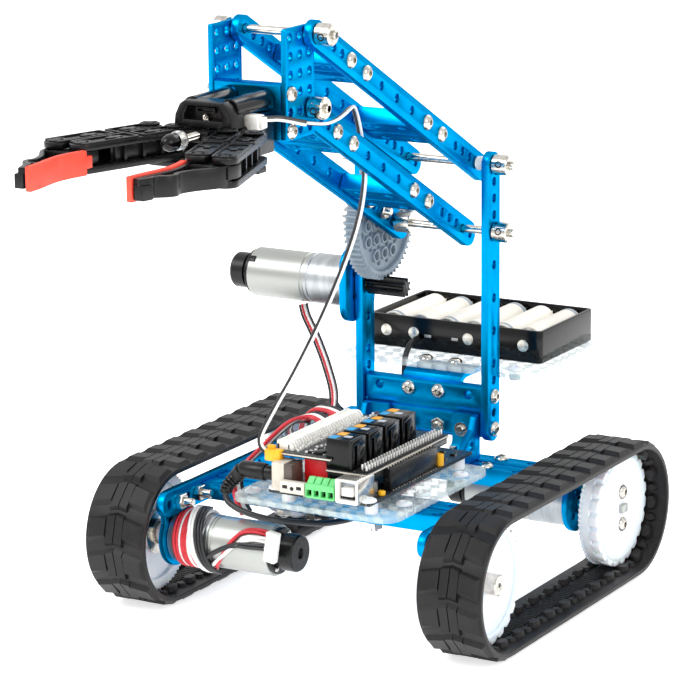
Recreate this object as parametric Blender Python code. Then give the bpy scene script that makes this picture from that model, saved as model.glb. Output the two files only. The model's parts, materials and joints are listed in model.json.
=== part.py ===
"""Tracked robot kit: crawler chassis, parallelogram arm and screw-driven gripper.

All lengths below are millimetres in the arm frame: x is 0 midway between the
uprights, y is 0 on the uprights' hole line (the gripper points to -y), and z is
0 on the ground. MM turns them into metres, and the parent empty moves the
whole kit so that the world origin is at the centre of its footprint.
"""
import math

import bmesh
import bpy
from mathutils import Matrix, Vector

MM = 0.001
GAP = 0.3                      # clearance between neighbouring pieces

# Where the arm frame sits, so that the footprint is centred on the origin.
SHIFT = (1.3, 99.1, 0.0)

# Hole grid and bar stock of the kit
PITCH = 8.0
HOLE_R = 2.1
HOLE_SIDES = 8
BAR_THICK = 4.0
BAR_WIDE = 12.0
SLAB_THICK = 8.0
SLAB_WIDE = 24.0
LONG_BAR = 176.0               # first to last hole centre
UPRIGHT_BAR = 128.0

# Crawler
AXLE_Z = 33.5
FRONT_AXLE_Y = -112.0
REAR_AXLE_Y = 24.0
TRACK_X = (70.8, 103.0)
TRACK_BORE_R = 29.4
TRACK_BAND_R = 31.2
TREAD_COUNT = 28
WHEEL_X = (82.6, 93.0)
WHEEL_R = 28.6
FLANGE_X = (67.0, 70.0)
LEFT_DRIVE_X = (71.0, 74.0)    # the left motor's flange stands further out
FLANGE_R = 14.5

# Chassis
SIDE_BEAM_X = 68.0
DECK_Z = 52.8                  # mid height of side beams and crossbeams
SIDE_BEAM_Y = -128.0
FRONT_CROSSBEAM_Y = -88.0
REAR_CROSSBEAM_Y = -8.0
CROSSBEAM_LENGTH = 131.4

# Uprights and arm
UPRIGHT_X = 34.0
UPRIGHT_FOOT_Z = 71.3          # lowest hole
LOWER_PIVOT_Z = UPRIGHT_FOOT_Z + 96.0
UPPER_PIVOT_Z = UPRIGHT_FOOT_Z + 128.0
LINK = 168.0                   # pivot to pivot
ARM_ANGLE = math.radians(28.5)
UPPER_BEAM_X = (24.6, -11.6)   # right, left
LOWER_BEAM_X = (17.5, -18.7)
LINK_SLAB_LENGTH = 31.6
WRIST_PLATE_X = (21.05, -15.15)
WRIST_PLATE_THICK = 2.5
WRIST_Y = -LINK * math.cos(ARM_ANGLE)
WRIST_RISE = LINK * math.sin(ARM_ANGLE)
SHAFT_R = 1.9
COLLAR_R = 5.0

# Arm drive: centre distance is LOWER_PIVOT_Z - PINION_Z
GEAR_TEETH = 56
PINION_TEETH = 8
GEAR_X = (-29.6, -22.0)
PINION_X = (-31.6, -11.0)
PINION_Z = LOWER_PIVOT_Z - 32.0

# Gear motors
GEARBOX_R = 12.3
CAN_R = 12.1
ENCODER_R = 8.7
GEARBOX_LENGTH = 21.0
CAN_LENGTH = 33.0
ENCODER_LENGTH = 11.0

# Gripper, centred between the wrist plates
GRIP_X = 2.95
GRIP_TOP_Z = 246.3
INNER_PIVOT = (13.0, -205.0)   # from GRIP_X, and y
OUTER_PIVOT = (25.5, -205.0)
LEVER_LENGTH = 49.5
OPEN_ANGLE = math.radians(17.7)
LEVER_THICK = 3.4
FINGER_LENGTH = 50.0
SCREW_Z = 246.4

# Deck plates, boards and battery
DECK_TOP_Z = DECK_Z + SLAB_THICK / 2
BOARD_PLATE = (-38.0, 48.0, -123.0, -24.7)
BATTERY_PLATE = (-53.0, 53.0, 6.4, 98.0)
BATTERY_PLATE_Z = 94.8
BATTERY_BOX = (-47.0, 47.0, 28.0, 86.0)
BOX_HEIGHT = 16.0
CELL_R = 7.0
CELL_COUNT = 6
MAIN_BOARD = (-15.0, 38.7, -127.0, -28.0)
MAIN_BOARD_Z = 65.6
DRIVER_BOARD = (13.6, 34.6, -122.0, -44.0)
DRIVER_BOARD_Z = 77.3
COMB_BOARD = (-14.6, 15.6, -122.0, -46.0)
COMB_BOARD_Z = 82.2

# Leads, each a list of points its centre line passes through
GRIPPER_LEAD_R = 1.4
GRIPPER_TAIL = [(15.6, -192.0, 247.4), (17.6, -184.6, 247.5), (22.0, -177.0, 247.0),
                (24.6, -170.0, 245.6), (25.8, -162.0, 243.4), (26.0, -158.0, 242.4)]
GRIPPER_LEAD_ARM = [(25.8, -142.0, 239.6), (25.0, -131.0, 239.4), (23.4, -121.0, 240.2),
                    (20.8, -111.4, 240.9), (17.2, -101.6, 240.4), (14.2, -94.0, 237.2),
                    (12.8, -89.0, 231.6), (12.6, -87.2, 227.4)]
GRIPPER_LEAD_BASE = [(12.8, -86.8, 225.4), (12.2, -82.0, 210.0), (10.2, -80.6, 195.0),
                     (7.0, -81.0, 181.0), (3.6, -85.5, 166.0), (-0.4, -93.0, 149.0),
                     (-5.4, -101.0, 132.0), (-10.4, -110.0, 116.0), (-15.4, -117.0, 103.0),
                     (-20.6, -120.5, 91.0), (-23.6, -118.0, 83.0), (-23.4, -112.0, 78.4),
                     (-22.2, -105.5, 77.2)]
ARM_LEAD_R = 2.6
ARM_LEAD = [(-68.5, 0.0, 121.4), (-66.0, -1.5, 116.0), (-58.5, -4.5, 106.0),
            (-51.0, -7.5, 93.0), (-45.0, -12.0, 80.5), (-43.0, -21.0, 70.0),
            (-46.0, -34.0, 66.0), (-47.0, -48.0, 68.6), (-42.0, -60.0, 75.6),
            (-34.0, -68.0, 82.4), (-26.0, -72.0, 85.4), (-22.6, -73.0, 85.6)]
BATTERY_LEAD_R = 1.9
BATTERY_LEAD = [(-31.0, -121.0, 71.6), (-34.0, -121.2, 69.0), (-37.0, -124.6, 64.4),
                (-36.0, -127.0, 59.4), (-30.0, -128.6, 56.4), (-22.0, -128.6, 54.4),
                (-14.0, -126.8, 52.8), (-8.6, -121.0, 51.0), (-4.0, -110.0, 48.0),
                (1.0, -100.0, 45.9), (6.0, -84.0, 44.8), (7.0, -66.0, 45.2), (2.0, -46.0, 45.4),
                (-6.0, -24.0, 45.2), (-13.0, -6.0, 44.4), (-18.0, 6.0, 45.6),
                (-19.5, 11.6, 52.0), (-19.5, 12.2, 66.0), (-19.5, 12.6, 84.0),
                (-19.5, 13.6, 96.4), (-19.5, 19.0, 102.6), (-19.5, 26.4, 104.0)]


# ---------------------------------------------------------------- scene tools

def start_scene():
    """Empty the file and make the collections and the frame empty."""
    for item in list(bpy.data.objects):
        bpy.data.objects.remove(item)
    for name in ("tracked_robot_kit", "cutters"):
        collection = bpy.data.collections.new(name)
        bpy.context.scene.collection.children.link(collection)
    frame = bpy.data.objects.new("kit_frame", None)
    frame.location = Vector(SHIFT) * MM
    bpy.data.collections["tracked_robot_kit"].objects.link(frame)
    return frame


def make_material(name, colour, roughness, metallic):
    """A Principled BSDF material."""
    material = bpy.data.materials.new(name)
    material.use_nodes = True
    shader = material.node_tree.nodes["Principled BSDF"]
    shader.inputs["Base Color"].default_value = (*colour, 1.0)
    shader.inputs["Roughness"].default_value = roughness
    shader.inputs["Metallic"].default_value = metallic
    return material


def make_body(name, pivot):
    """An empty on a joint's axis, for the pieces that turn or slide there."""
    empty = bpy.data.objects.new(name, None)
    empty.parent = FRAME
    empty.location = Vector(pivot) * MM
    bpy.data.collections["tracked_robot_kit"].objects.link(empty)
    return empty


def finish(name, mesh, material, body):
    """Put a mesh into the kit as a named piece of a body."""
    piece = bpy.data.objects.new(name, mesh)
    bpy.data.collections["tracked_robot_kit"].objects.link(piece)
    mesh.materials.clear()
    mesh.materials.append(material)
    piece.parent = body
    if body is not FRAME:
        piece.matrix_parent_inverse = Matrix.Translation(-body.location)
    return piece


def combine(piece, tools, operation):
    """Join tools to a piece, or cut them out of it, with one Boolean each."""
    for tool in tools:
        item = bpy.data.objects.new(piece.name + "_tool", tool)
        bpy.data.collections["cutters"].objects.link(item)
        item.parent = FRAME
        item.hide_render = True
        item.display_type = "WIRE"
        modifier = piece.modifiers.new(operation.lower(), "BOOLEAN")
        modifier.operation = operation
        modifier.object = item
    return piece


# ---------------------------------------------------------------- mesh makers

def facing(x, y, z, angle=90.0, side="x"):
    """Frame of a flat piece: side x lies in the y-z plane with its u axis at angle
    from +y, side z lies flat with u at angle from +x, side y stands facing -y."""
    if side == "x":
        a = math.radians(angle)
        axes = ((0, math.cos(a), math.sin(a)), (0, -math.sin(a), math.cos(a)), (1, 0, 0))
    elif side == "z":
        a = math.radians(angle)
        axes = ((math.cos(a), math.sin(a), 0), (-math.sin(a), math.cos(a), 0), (0, 0, 1))
    else:
        axes = ((1, 0, 0), (0, 0, 1), (0, -1, 0))
    matrix = Matrix(axes).transposed().to_4x4()
    matrix.translation = (x, y, z)
    return matrix


def flat_mesh(outlines, thickness, frame):
    """A flat piece from its outline and holes, as a filled, extruded 2D curve."""
    curve = bpy.data.curves.new("outline", "CURVE")
    curve.dimensions = "2D"
    curve.fill_mode = "BOTH"
    curve.extrude = thickness * MM / 2
    for points in outlines:
        spline = curve.splines.new("POLY")
        spline.points.add(len(points) - 1)
        for point, (u, v) in zip(spline.points, points):
            point.co = (u * MM, v * MM, 0, 1)
        spline.use_cyclic_u = True
    return curve_mesh(curve, frame)


def curve_mesh(curve, frame):
    """The closed mesh of a curve, moved by a frame given in millimetres."""
    item = bpy.data.objects.new("curve", curve)
    bpy.context.scene.collection.objects.link(item)
    depsgraph = bpy.context.evaluated_depsgraph_get()
    mesh = bpy.data.meshes.new_from_object(item.evaluated_get(depsgraph))
    bpy.data.objects.remove(item)
    work = bmesh.new()
    work.from_mesh(mesh)
    bmesh.ops.remove_doubles(work, verts=work.verts, dist=0.00001)
    bmesh.ops.recalc_face_normals(work, faces=work.faces)
    work.to_mesh(mesh)
    work.free()
    placed = frame.copy()
    placed.translation = frame.translation * MM
    mesh.transform(placed)
    return mesh


def box_mesh(low, high):
    """A box between two corners."""
    size = [(b - a) * MM for a, b in zip(low, high)]
    centre = [(a + b) * MM / 2 for a, b in zip(low, high)]
    work = bmesh.new()
    matrix = Matrix.Translation(centre) @ Matrix.Diagonal((*size, 1.0))
    bmesh.ops.create_cube(work, size=1.0, matrix=matrix)
    mesh = bpy.data.meshes.new("box")
    work.to_mesh(mesh)
    work.free()
    return mesh


def rod_mesh(start, end, radius, sides=16, end_radius=None):
    """A cylinder or cone between two points."""
    start, end = Vector(start) * MM, Vector(end) * MM
    along = end - start
    turn = Vector((0, 0, 1)).rotation_difference(along).to_matrix().to_4x4()
    work = bmesh.new()
    bmesh.ops.create_cone(work, cap_ends=True, segments=sides, radius1=radius * MM,
                          radius2=(radius if end_radius is None else end_radius) * MM,
                          depth=along.length, matrix=Matrix.Translation((start + end) / 2) @ turn)
    mesh = bpy.data.meshes.new("rod")
    work.to_mesh(mesh)
    work.free()
    return mesh


def circle(u, v, radius, sides=HOLE_SIDES):
    """Points of a round outline."""
    steps = [2 * math.pi * (i + 0.5) / sides for i in range(sides)]
    return [(u + radius * math.cos(a), v + radius * math.sin(a)) for a in steps]


def bar_outline(length, radius, arc=6):
    """A bar with round ends, from u = 0 to u = length between its end holes."""
    right = [math.pi * (i / arc - 0.5) for i in range(arc + 1)]
    points = [(length + radius * math.cos(a), radius * math.sin(a)) for a in right]
    return points + [(-radius * math.cos(a), -radius * math.sin(a)) for a in right]


def block_outline(u0, u1, v0, v1, radius=0.0, arc=3):
    """A rectangle, with rounded corners if radius isn't 0."""
    if not radius:
        return [(u0, v0), (u1, v0), (u1, v1), (u0, v1)]
    corners = ((u1 - radius, v0 + radius, -90), (u1 - radius, v1 - radius, 0),
               (u0 + radius, v1 - radius, 90), (u0 + radius, v0 + radius, 180))
    points = []
    for u, v, start in corners:
        for i in range(arc + 1):
            a = math.radians(start + 90 * i / arc)
            points.append((u + radius * math.cos(a), v + radius * math.sin(a)))
    return points


def gear_outline(teeth, root, tip):
    """Straight-flanked teeth of module 1 between a root and a tip radius."""
    points = []
    for i in range(teeth):
        for share, radius in ((-0.30, root), (-0.12, tip), (0.12, tip), (0.30, root)):
            a = 2 * math.pi * (i + share) / teeth
            points.append((radius * math.cos(a), radius * math.sin(a)))
    return points


def bar_holes(length):
    """Hole places along a bar: every pitch near the ends, every second one between."""
    ends = [PITCH * i for i in range(5)]
    count = int((length - 2 * ends[-1]) / (2 * PITCH))
    middle = [ends[-1] + 2 * PITCH * i for i in range(1, count + 1)]
    places = ends + middle + [length - u for u in ends]
    return sorted(set(places))


def tube_mesh(points, radius, resolution=2):
    """A lead: a smooth curve through its points, with closed ends."""
    route = smooth_route([Vector(p) for p in points])
    curve = bpy.data.curves.new("lead", "CURVE")
    curve.dimensions = "3D"
    curve.bevel_depth = radius * MM
    curve.bevel_resolution = resolution
    curve.use_fill_caps = True
    spline = curve.splines.new("POLY")
    spline.points.add(len(route) - 1)
    for point, place in zip(spline.points, route):
        point.co = (*(place * MM), 1)
    return curve_mesh(curve, Matrix.Identity(4))


def smooth_route(points, steps=2):
    """Catmull-Rom points through a route."""
    route = []
    for i in range(len(points) - 1):
        before = points[max(i - 1, 0)]
        a, b = points[i], points[i + 1]
        after = points[min(i + 2, len(points) - 1)]
        for k in range(steps):
            t = k / steps
            route.append(0.5 * (2 * a + (b - before) * t
                                + (2 * before - 5 * a + 4 * b - after) * t * t
                                + (3 * a - before - 3 * b + after) * t ** 3))
    return route + [points[-1]]


# ---------------------------------------------------------------- bar stock

def add_bar(name, length, frame, material, body, bearings=()):
    """A perforated bar with round ends, its holes wider where it turns on a shaft."""
    holes = []
    for u in bar_holes(length):
        radius = SHAFT_R + 0.4 if u in bearings else HOLE_R
        holes.append(circle(u, 0, radius, 12 if u in bearings else HOLE_SIDES))
    mesh = flat_mesh([bar_outline(length, BAR_WIDE / 2)] + holes, BAR_THICK, frame)
    return finish(name, mesh, material, body)


def slab_mesh(length, wide, holes_u, frame, thick=SLAB_THICK):
    """A square-ended slab with two rows of holes one pitch either side of its middle."""
    outline = block_outline(-length / 2, length / 2, -wide / 2, wide / 2)
    holes = [circle(u, v, HOLE_R) for u in holes_u for v in (-PITCH, PITCH)]
    return flat_mesh([outline] + holes, thick, frame)


# ---------------------------------------------------------------- crawler

def add_chassis():
    """Side beams and the two crossbeams between them."""
    for side, x in (("left", -SIDE_BEAM_X), ("right", SIDE_BEAM_X)):
        frame = facing(x, SIDE_BEAM_Y, DECK_Z, 0)
        add_bar("side_beam_" + side, LONG_BAR, frame, BLUE, FRAME)
    places = [PITCH * k for k in range(-7, 8, 2)]
    for end, y in (("front", FRONT_CROSSBEAM_Y), ("rear", REAR_CROSSBEAM_Y)):
        mesh = slab_mesh(CROSSBEAM_LENGTH, SLAB_WIDE, places, facing(0, y, DECK_Z, 0, "z"))
        finish("crossbeam_" + end, mesh, BLUE, FRAME)


def track_outline(radius, lift=0.0, arc=14):
    """The loop round both axles at a radius, with tread blocks if lift isn't 0."""
    straight = REAR_AXLE_Y - FRONT_AXLE_Y
    if not lift:
        return [loop_point(s, radius, straight) for s in fill_marks(straight, radius, arc)]
    points = []
    pitch = (2 * straight + 2 * math.pi * radius) / TREAD_COUNT
    for i in range(TREAD_COUNT):
        for share, rise in ((0.0, 0.0), (0.10, lift), (0.62, lift), (0.72, 0.0)):
            points.append(loop_point((i + share) * pitch, radius, straight, rise))
    return points


def fill_marks(straight, radius, arc):
    """Distances along a loop at which a round stretch needs a point."""
    half = math.pi * radius
    first = [straight + half * i / arc for i in range(arc + 1)]
    return first + [straight + s for s in (half + x for x in first)]


def loop_point(s, radius, straight, rise=0.0):
    """A point at distance s round the loop, from below the front axle to the rear."""
    half = math.pi * radius
    if s <= straight:
        return (FRONT_AXLE_Y + s, AXLE_Z - radius - rise)
    if s < straight + half:
        a = (s - straight) / radius - math.pi / 2
        return (REAR_AXLE_Y + (radius + rise) * math.cos(a), AXLE_Z + (radius + rise) * math.sin(a))
    if s <= 2 * straight + half:
        return (REAR_AXLE_Y - (s - straight - half), AXLE_Z + radius + rise)
    a = (s - 2 * straight - half) / radius + math.pi / 2
    return (FRONT_AXLE_Y + (radius + rise) * math.cos(a), AXLE_Z + (radius + rise) * math.sin(a))


def add_track(side, sign):
    """A rubber crawler belt with tread blocks."""
    thick = TRACK_X[1] - TRACK_X[0]
    middle = sign * (TRACK_X[0] + TRACK_X[1]) / 2
    tread = AXLE_Z - TRACK_BAND_R
    outlines = [track_outline(TRACK_BAND_R, tread), track_outline(TRACK_BORE_R)]
    mesh = flat_mesh(outlines, thick, facing(middle, 0, 0, 0))
    finish("track_" + side, mesh, RUBBER, FRAME)


def drive_flange_x(sign):
    """Inner and outer face of a driven wheel's flange, from the middle of the vehicle."""
    return LEFT_DRIVE_X if sign < 0 else FLANGE_X


def add_wheel(name, sign, y, driven):
    """A nylon belt wheel; a driven one carries its hub and the motor's shaft."""
    body = make_body(name + "_axis", (sign * WHEEL_X[0], y, AXLE_Z))
    x0, x1 = WHEEL_X
    rim = rod_mesh((sign * x0, y, AXLE_Z), (sign * x1, y, AXLE_Z), WHEEL_R, 28)
    wheel = finish(name, rim, NYLON, body)
    dish = rod_mesh((sign * (x1 - 2.4), y, AXLE_Z), (sign * (x1 + 5), y, AXLE_Z), 24.0, 20)
    if driven:
        near, far = drive_flange_x(sign)
        shaft = rod_mesh((sign * near, y, AXLE_Z), (sign * (x1 + 0.8), y, AXLE_Z), 2.0, 10)
        hub = rod_mesh((sign * (far + 1.4), y, AXLE_Z), (sign * (x0 + 1), y, AXLE_Z), 6.0, 14)
        combine(wheel, [hub, shaft], "UNION")
    else:
        bore = rod_mesh((sign * (x0 - 5), y, AXLE_Z), (sign * (x1 + 5), y, AXLE_Z), SHAFT_R + GAP, 12)
        combine(wheel, [dish, bore], "DIFFERENCE")


def add_wheel_bracket(name, sign, y, driven):
    """A round flange that hangs below the side beam, bolted to its outer face."""
    x0, x1 = drive_flange_x(sign) if driven else FLANGE_X
    flange = rod_mesh((sign * x0, y, AXLE_Z), (sign * x1, y, AXLE_Z), FLANGE_R - 1.6, 24)
    bracket = finish(name, flange, BLUE, FRAME)
    outer = SIDE_BEAM_X + BAR_THICK / 2 + GAP
    top = DECK_Z + BAR_WIDE / 2 - 1
    under = DECK_Z - BAR_WIDE / 2 - GAP
    shelf = box_mesh(*span(sign * x0, sign * (outer + 2.5), y - 12, y + 12, AXLE_Z + 8, under))
    foot = AXLE_Z + GEARBOX_R + 2 * GAP
    tab = box_mesh(*span(sign * outer, sign * (outer + 2.5), y - 12, y + 12, foot, top))
    combine(bracket, [shelf, tab], "UNION")
    if driven:
        bore = rod_mesh((sign * (x0 - 4), y, AXLE_Z), (sign * (x1 + 8), y, AXLE_Z), 3.6, 12)
        combine(bracket, [bore], "DIFFERENCE")
    else:
        axle = rod_mesh((sign * (x0 + 1), y, AXLE_Z), (sign * (WHEEL_X[1] + 2.0), y, AXLE_Z), SHAFT_R, 12)
        boss = rod_mesh((sign * (x1 - 1), y, AXLE_Z), (sign * (WHEEL_X[0] - GAP), y, AXLE_Z), 5.0, 12)
        end = (sign * (WHEEL_X[1] - 2.1), sign * (WHEEL_X[1] + 1.2))
        collar = rod_mesh((end[0], y, AXLE_Z), (end[1], y, AXLE_Z), COLLAR_R, 12)
        combine(bracket, [axle, boss, collar], "UNION")


def span(xa, xb, ya, yb, za, zb):
    """Lowest and highest corner from three pairs of bounds in any order."""
    low = (min(xa, xb), min(ya, yb), min(za, zb))
    high = (max(xa, xb), max(ya, yb), max(za, zb))
    return low, high


def add_gear_motor(name, sign, face_x, y, z):
    """Gearbox, can and encoder cap in line, growing away from face_x along -sign."""
    a = face_x
    b = a - sign * GEARBOX_LENGTH
    c = b - sign * CAN_LENGTH
    d = c - sign * ENCODER_LENGTH
    motor = finish(name, rod_mesh((a, y, z), (b, y, z), GEARBOX_R, 20), STEEL, FRAME)
    can = rod_mesh((b + sign * 0.5, y, z), (c, y, z), CAN_R, 20)
    cap = rod_mesh((c + sign * 0.5, y, z), (d, y, z), ENCODER_R, 16)
    combine(motor, [can, cap], "UNION")


def add_crawlers():
    """Both tracks with a driven and a free wheel each; the left drives in front."""
    for side, sign, drive_y, idle_y in (("left", -1, FRONT_AXLE_Y, REAR_AXLE_Y),
                                        ("right", 1, REAR_AXLE_Y, FRONT_AXLE_Y)):
        add_track(side, sign)
        add_wheel("drive_wheel_" + side, sign, drive_y, True)
        add_wheel("idler_wheel_" + side, sign, idle_y, False)
        add_wheel_bracket("motor_bracket_" + side, sign, drive_y, True)
        add_wheel_bracket("idler_bracket_" + side, sign, idle_y, False)
        face = sign * (drive_flange_x(sign)[0] - GAP)
        add_gear_motor("track_motor_" + side, sign, face, drive_y, AXLE_Z)


# ---------------------------------------------------------------- uprights

def add_uprights():
    """Uprights, the crossbeam between them and the angle brackets under it."""
    for side, x in (("left", -UPRIGHT_X), ("right", UPRIGHT_X)):
        frame = facing(x, 0, UPRIGHT_FOOT_Z, 90)
        add_bar("upright_" + side, UPRIGHT_BAR, frame, BLUE, FRAME, (96.0, 128.0))
    places = [PITCH * k for k in (-3, -1, 1, 3)]
    length = 2 * (UPRIGHT_X - BAR_THICK / 2 - GAP)
    frame = facing(0, 0, UPRIGHT_FOOT_Z + PITCH, side="y")
    finish("upright_crossbeam", slab_mesh(length, SLAB_WIDE, places, frame), BLUE, FRAME)
    for side, sign in (("left", -1), ("right", 1)):
        add_angle_bracket("angle_bracket_" + side, sign)


def add_angle_bracket(name, sign):
    """An angle with one side web, between the upright crossbeam and the deck."""
    foot, back, thick = DECK_TOP_Z + GAP, -SLAB_THICK / 2 - GAP, 3.0
    top, reach = foot + 22, back - 20
    profile = [(reach, foot), (back, foot), (back, top), (back - thick, top),
               (back - thick, foot + thick), (reach, foot + thick)]
    mesh = flat_mesh([profile], 14, facing(sign * 24, 0, 0, 0))
    bracket = finish(name, mesh, BLUE, FRAME)
    web = [(reach + 1, foot + 1), (back - 1, foot + 1), (back - 1, top - 1), (back - 5, top - 1),
           (reach + 1, foot + 7)]
    hole = circle(back - 9, foot + 8, HOLE_R)
    side_web = flat_mesh([web, hole], thick, facing(sign * 29.5, 0, 0, 0))
    combine(bracket, [side_web], "UNION")
    upright_hole = rod_mesh((sign * 24, -20, UPRIGHT_FOOT_Z), (sign * 24, 0, UPRIGHT_FOOT_Z), HOLE_R, 8)
    deck_hole = rod_mesh((sign * 24, -16, foot - 4), (sign * 24, -16, foot + 8), HOLE_R, 8)
    combine(bracket, [upright_hole, deck_hole], "DIFFERENCE")


def add_pivot_shafts():
    """The two shafts across the uprights, each with a collar outside each upright."""
    outside = UPRIGHT_X + BAR_THICK / 2 + GAP
    for name, z in (("lower", LOWER_PIVOT_Z), ("upper", UPPER_PIVOT_Z)):
        end = outside + 10.5
        shaft = rod_mesh((-end, 0, z), (end, 0, z), SHAFT_R, 12)
        shaft = finish(name + "_pivot_shaft", shaft, STEEL, FRAME)
        collars = [rod_mesh((s * outside, 0, z), (s * (outside + 8), 0, z), COLLAR_R, 14) for s in (-1, 1)]
        combine(shaft, collars, "UNION")


# ---------------------------------------------------------------- arm

def link_frame(x, pivot_z):
    """Frame of a link bar with u = 0 at its front end hole, running to the rear."""
    y = WRIST_Y
    z = pivot_z + WRIST_RISE
    return facing(x, y, z, -math.degrees(ARM_ANGLE))


def link_slab(name, x_pair, pivot_z, place, body):
    """A slab between two link bars, centred at a place along them from the front."""
    y = WRIST_Y + place * math.cos(ARM_ANGLE)
    z = pivot_z + WRIST_RISE - place * math.sin(ARM_ANGLE)
    middle = sum(x_pair) / 2
    turn = Matrix.Rotation(-ARM_ANGLE, 4, "X")
    frame = facing(0, 0, 0, 0, "z")
    frame = turn @ frame
    frame.translation = (middle, y, z)
    mesh = slab_mesh(LINK_SLAB_LENGTH, SLAB_WIDE, (-PITCH, PITCH), frame)
    finish(name, mesh, BLUE, body)


def add_arm():
    """Lower and upper link pairs, each with two slabs, and the gear on the lower pair."""
    lower = make_body("lower_arm", (0, 0, LOWER_PIVOT_Z))
    upper = make_body("upper_arm", (0, 0, UPPER_PIVOT_Z))
    for name, x_pair, pivot_z, body in (("lower", LOWER_BEAM_X, LOWER_PIVOT_Z, lower),
                                        ("upper", UPPER_BEAM_X, UPPER_PIVOT_Z, upper)):
        for side, x in zip(("right", "left"), x_pair):
            frame = link_frame(x, pivot_z)
            add_bar(name + "_beam_" + side, LONG_BAR, frame, BLUE, body, (0.0, LINK))
        link_slab(name + "_slab_front", x_pair, pivot_z, 40.0, body)
        link_slab(name + "_slab_rear", x_pair, pivot_z, 120.0, body)
    add_arm_gear(lower)
    add_arm_drive()


def add_arm_gear(body):
    """The sector gear round the lower pivot, pierced by a ring of holes."""
    outlines = [gear_outline(GEAR_TEETH, 26.6, 28.7), circle(0, 0, SHAFT_R + 0.4, 12)]
    for ring, count in ((9.0, 6), (19.0, 10)):
        for i in range(count):
            a = 2 * math.pi * i / count
            outlines.append(circle(ring * math.cos(a), ring * math.sin(a), 2.4))
    middle = sum(GEAR_X) / 2
    frame = facing(middle, 0, LOWER_PIVOT_Z, 90)
    mesh = flat_mesh(outlines, GEAR_X[1] - GEAR_X[0], frame)
    finish("arm_gear", mesh, GEAR_GREY, body)


def add_arm_drive():
    """Pinion, motor and motor bracket on the left upright."""
    body = make_body("arm_pinion_axis", (0, 0, PINION_Z))
    middle = sum(PINION_X) / 2
    frame = facing(middle, 0, PINION_Z, 90 + 180 / PINION_TEETH)
    mesh = flat_mesh([gear_outline(PINION_TEETH, 2.9, 4.7)], PINION_X[1] - PINION_X[0], frame)
    pinion = finish("arm_pinion", mesh, BLACK, body)
    shaft = rod_mesh((-40.2, 0, PINION_Z), (PINION_X[0] + 1, 0, PINION_Z), 1.6, 10)
    combine(pinion, [shaft], "UNION")
    outer = -(UPRIGHT_X + BAR_THICK / 2 + GAP)
    thick = 4.0
    frame = facing(outer - thick / 2, 0, PINION_Z, 90)
    outline = block_outline(-18, 18, -14.5, 14.5, 9)
    mesh = flat_mesh([outline, circle(0, 0, 3.4, 12)], thick, frame)
    finish("arm_motor_bracket", mesh, BLUE, FRAME)
    add_gear_motor("arm_motor", 1, outer - thick - GAP, 0, PINION_Z)


def add_wrist():
    """Wrist plates, the slab between them and their two pivot shafts."""
    body = make_body("wrist", (0, WRIST_Y, LOWER_PIVOT_Z + WRIST_RISE))
    top = UPPER_PIVOT_Z + WRIST_RISE
    for side, x in zip(("right", "left"), WRIST_PLATE_X):
        frame = facing(x, WRIST_Y, top, 0)
        outline = block_outline(-20, 4, -44, 4)
        holes = [circle(-PITCH * i, -PITCH * j, HOLE_R) for i in range(3) for j in range(6)]
        mesh = flat_mesh([outline] + holes, WRIST_PLATE_THICK, frame)
        finish("wrist_plate_" + side, mesh, BLUE, body)
    inner = WRIST_PLATE_X[0] - WRIST_PLATE_X[1] - WRIST_PLATE_THICK - 2 * GAP
    frame = facing(GRIP_X, WRIST_Y - 16, top - 32, side="y")
    places = (-PITCH, PITCH)
    mesh = slab_mesh(inner, SLAB_WIDE, places, frame)
    finish("wrist_slab", mesh, BLUE, body)
    for name, z, x_left in (("lower", top - 32, -27.5), ("upper", top, -24.0)):
        reach = 36.0 if name == "upper" else 32.0
        shaft = rod_mesh((x_left - 1.5, WRIST_Y, z), (reach, WRIST_Y, z), SHAFT_R, 12)
        shaft = finish("wrist_shaft_" + name, shaft, STEEL, body)
        near = (UPPER_BEAM_X[0] if name == "upper" else 20.6) + BAR_THICK / 2 + GAP
        far = x_left + 6.4
        combine(shaft, [rod_mesh((near, WRIST_Y, z), (near + 7.5, WRIST_Y, z), COLLAR_R, 14),
                        rod_mesh((x_left, WRIST_Y, z), (far, WRIST_Y, z), COLLAR_R, 14)], "UNION")


# ---------------------------------------------------------------- gripper

def add_gripper():
    """Housing, lead screw, nut, and two jaws of two levers and a finger."""
    wrist = bpy.data.objects["wrist"]
    slab_front = WRIST_Y - 20 - GAP
    top = GRIP_TOP_Z
    mesh = box_mesh((GRIP_X - 15, -196, top - 16), (GRIP_X + 15, slab_front - 1, top - 1))
    housing = finish("gripper_housing", mesh, BLACK, wrist)
    head_outline = [(-14, 0), (14, 0), (9.5, 8.2), (-9.5, 8.2)]
    head = flat_mesh([head_outline], 14, facing(GRIP_X, -198, top + 2.4, side="y"))
    tubes = [rod_mesh((GRIP_X + s * 9, -200, top + 6.4), (GRIP_X + s * 9, slab_front, top + 6.4), 4.3, 14)
             for s in (-1, 1)]
    base = box_mesh((GRIP_X - 30, -211, top - 0.6), (GRIP_X + 30, -190, top + 2.6))
    neck = box_mesh((GRIP_X - 7, -211, top - 15), (GRIP_X + 7, -194, top))
    tail = tube_mesh(GRIPPER_TAIL, GRIPPER_LEAD_R)
    combine(housing, [head, base, neck, tail] + tubes, "UNION")
    screw_bore = rod_mesh((GRIP_X, -214, SCREW_Z - 3), (GRIP_X, -192, SCREW_Z - 3), 3.0, 12)
    nut_room = box_mesh((GRIP_X - 8, -212, top - 9.4), (GRIP_X + 8, -199, top - 1.0))
    combine(housing, [nut_room, screw_bore], "DIFFERENCE")
    add_lead_screw(wrist)
    for side, sign in (("left", -1), ("right", 1)):
        add_jaw(side, sign)


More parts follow.
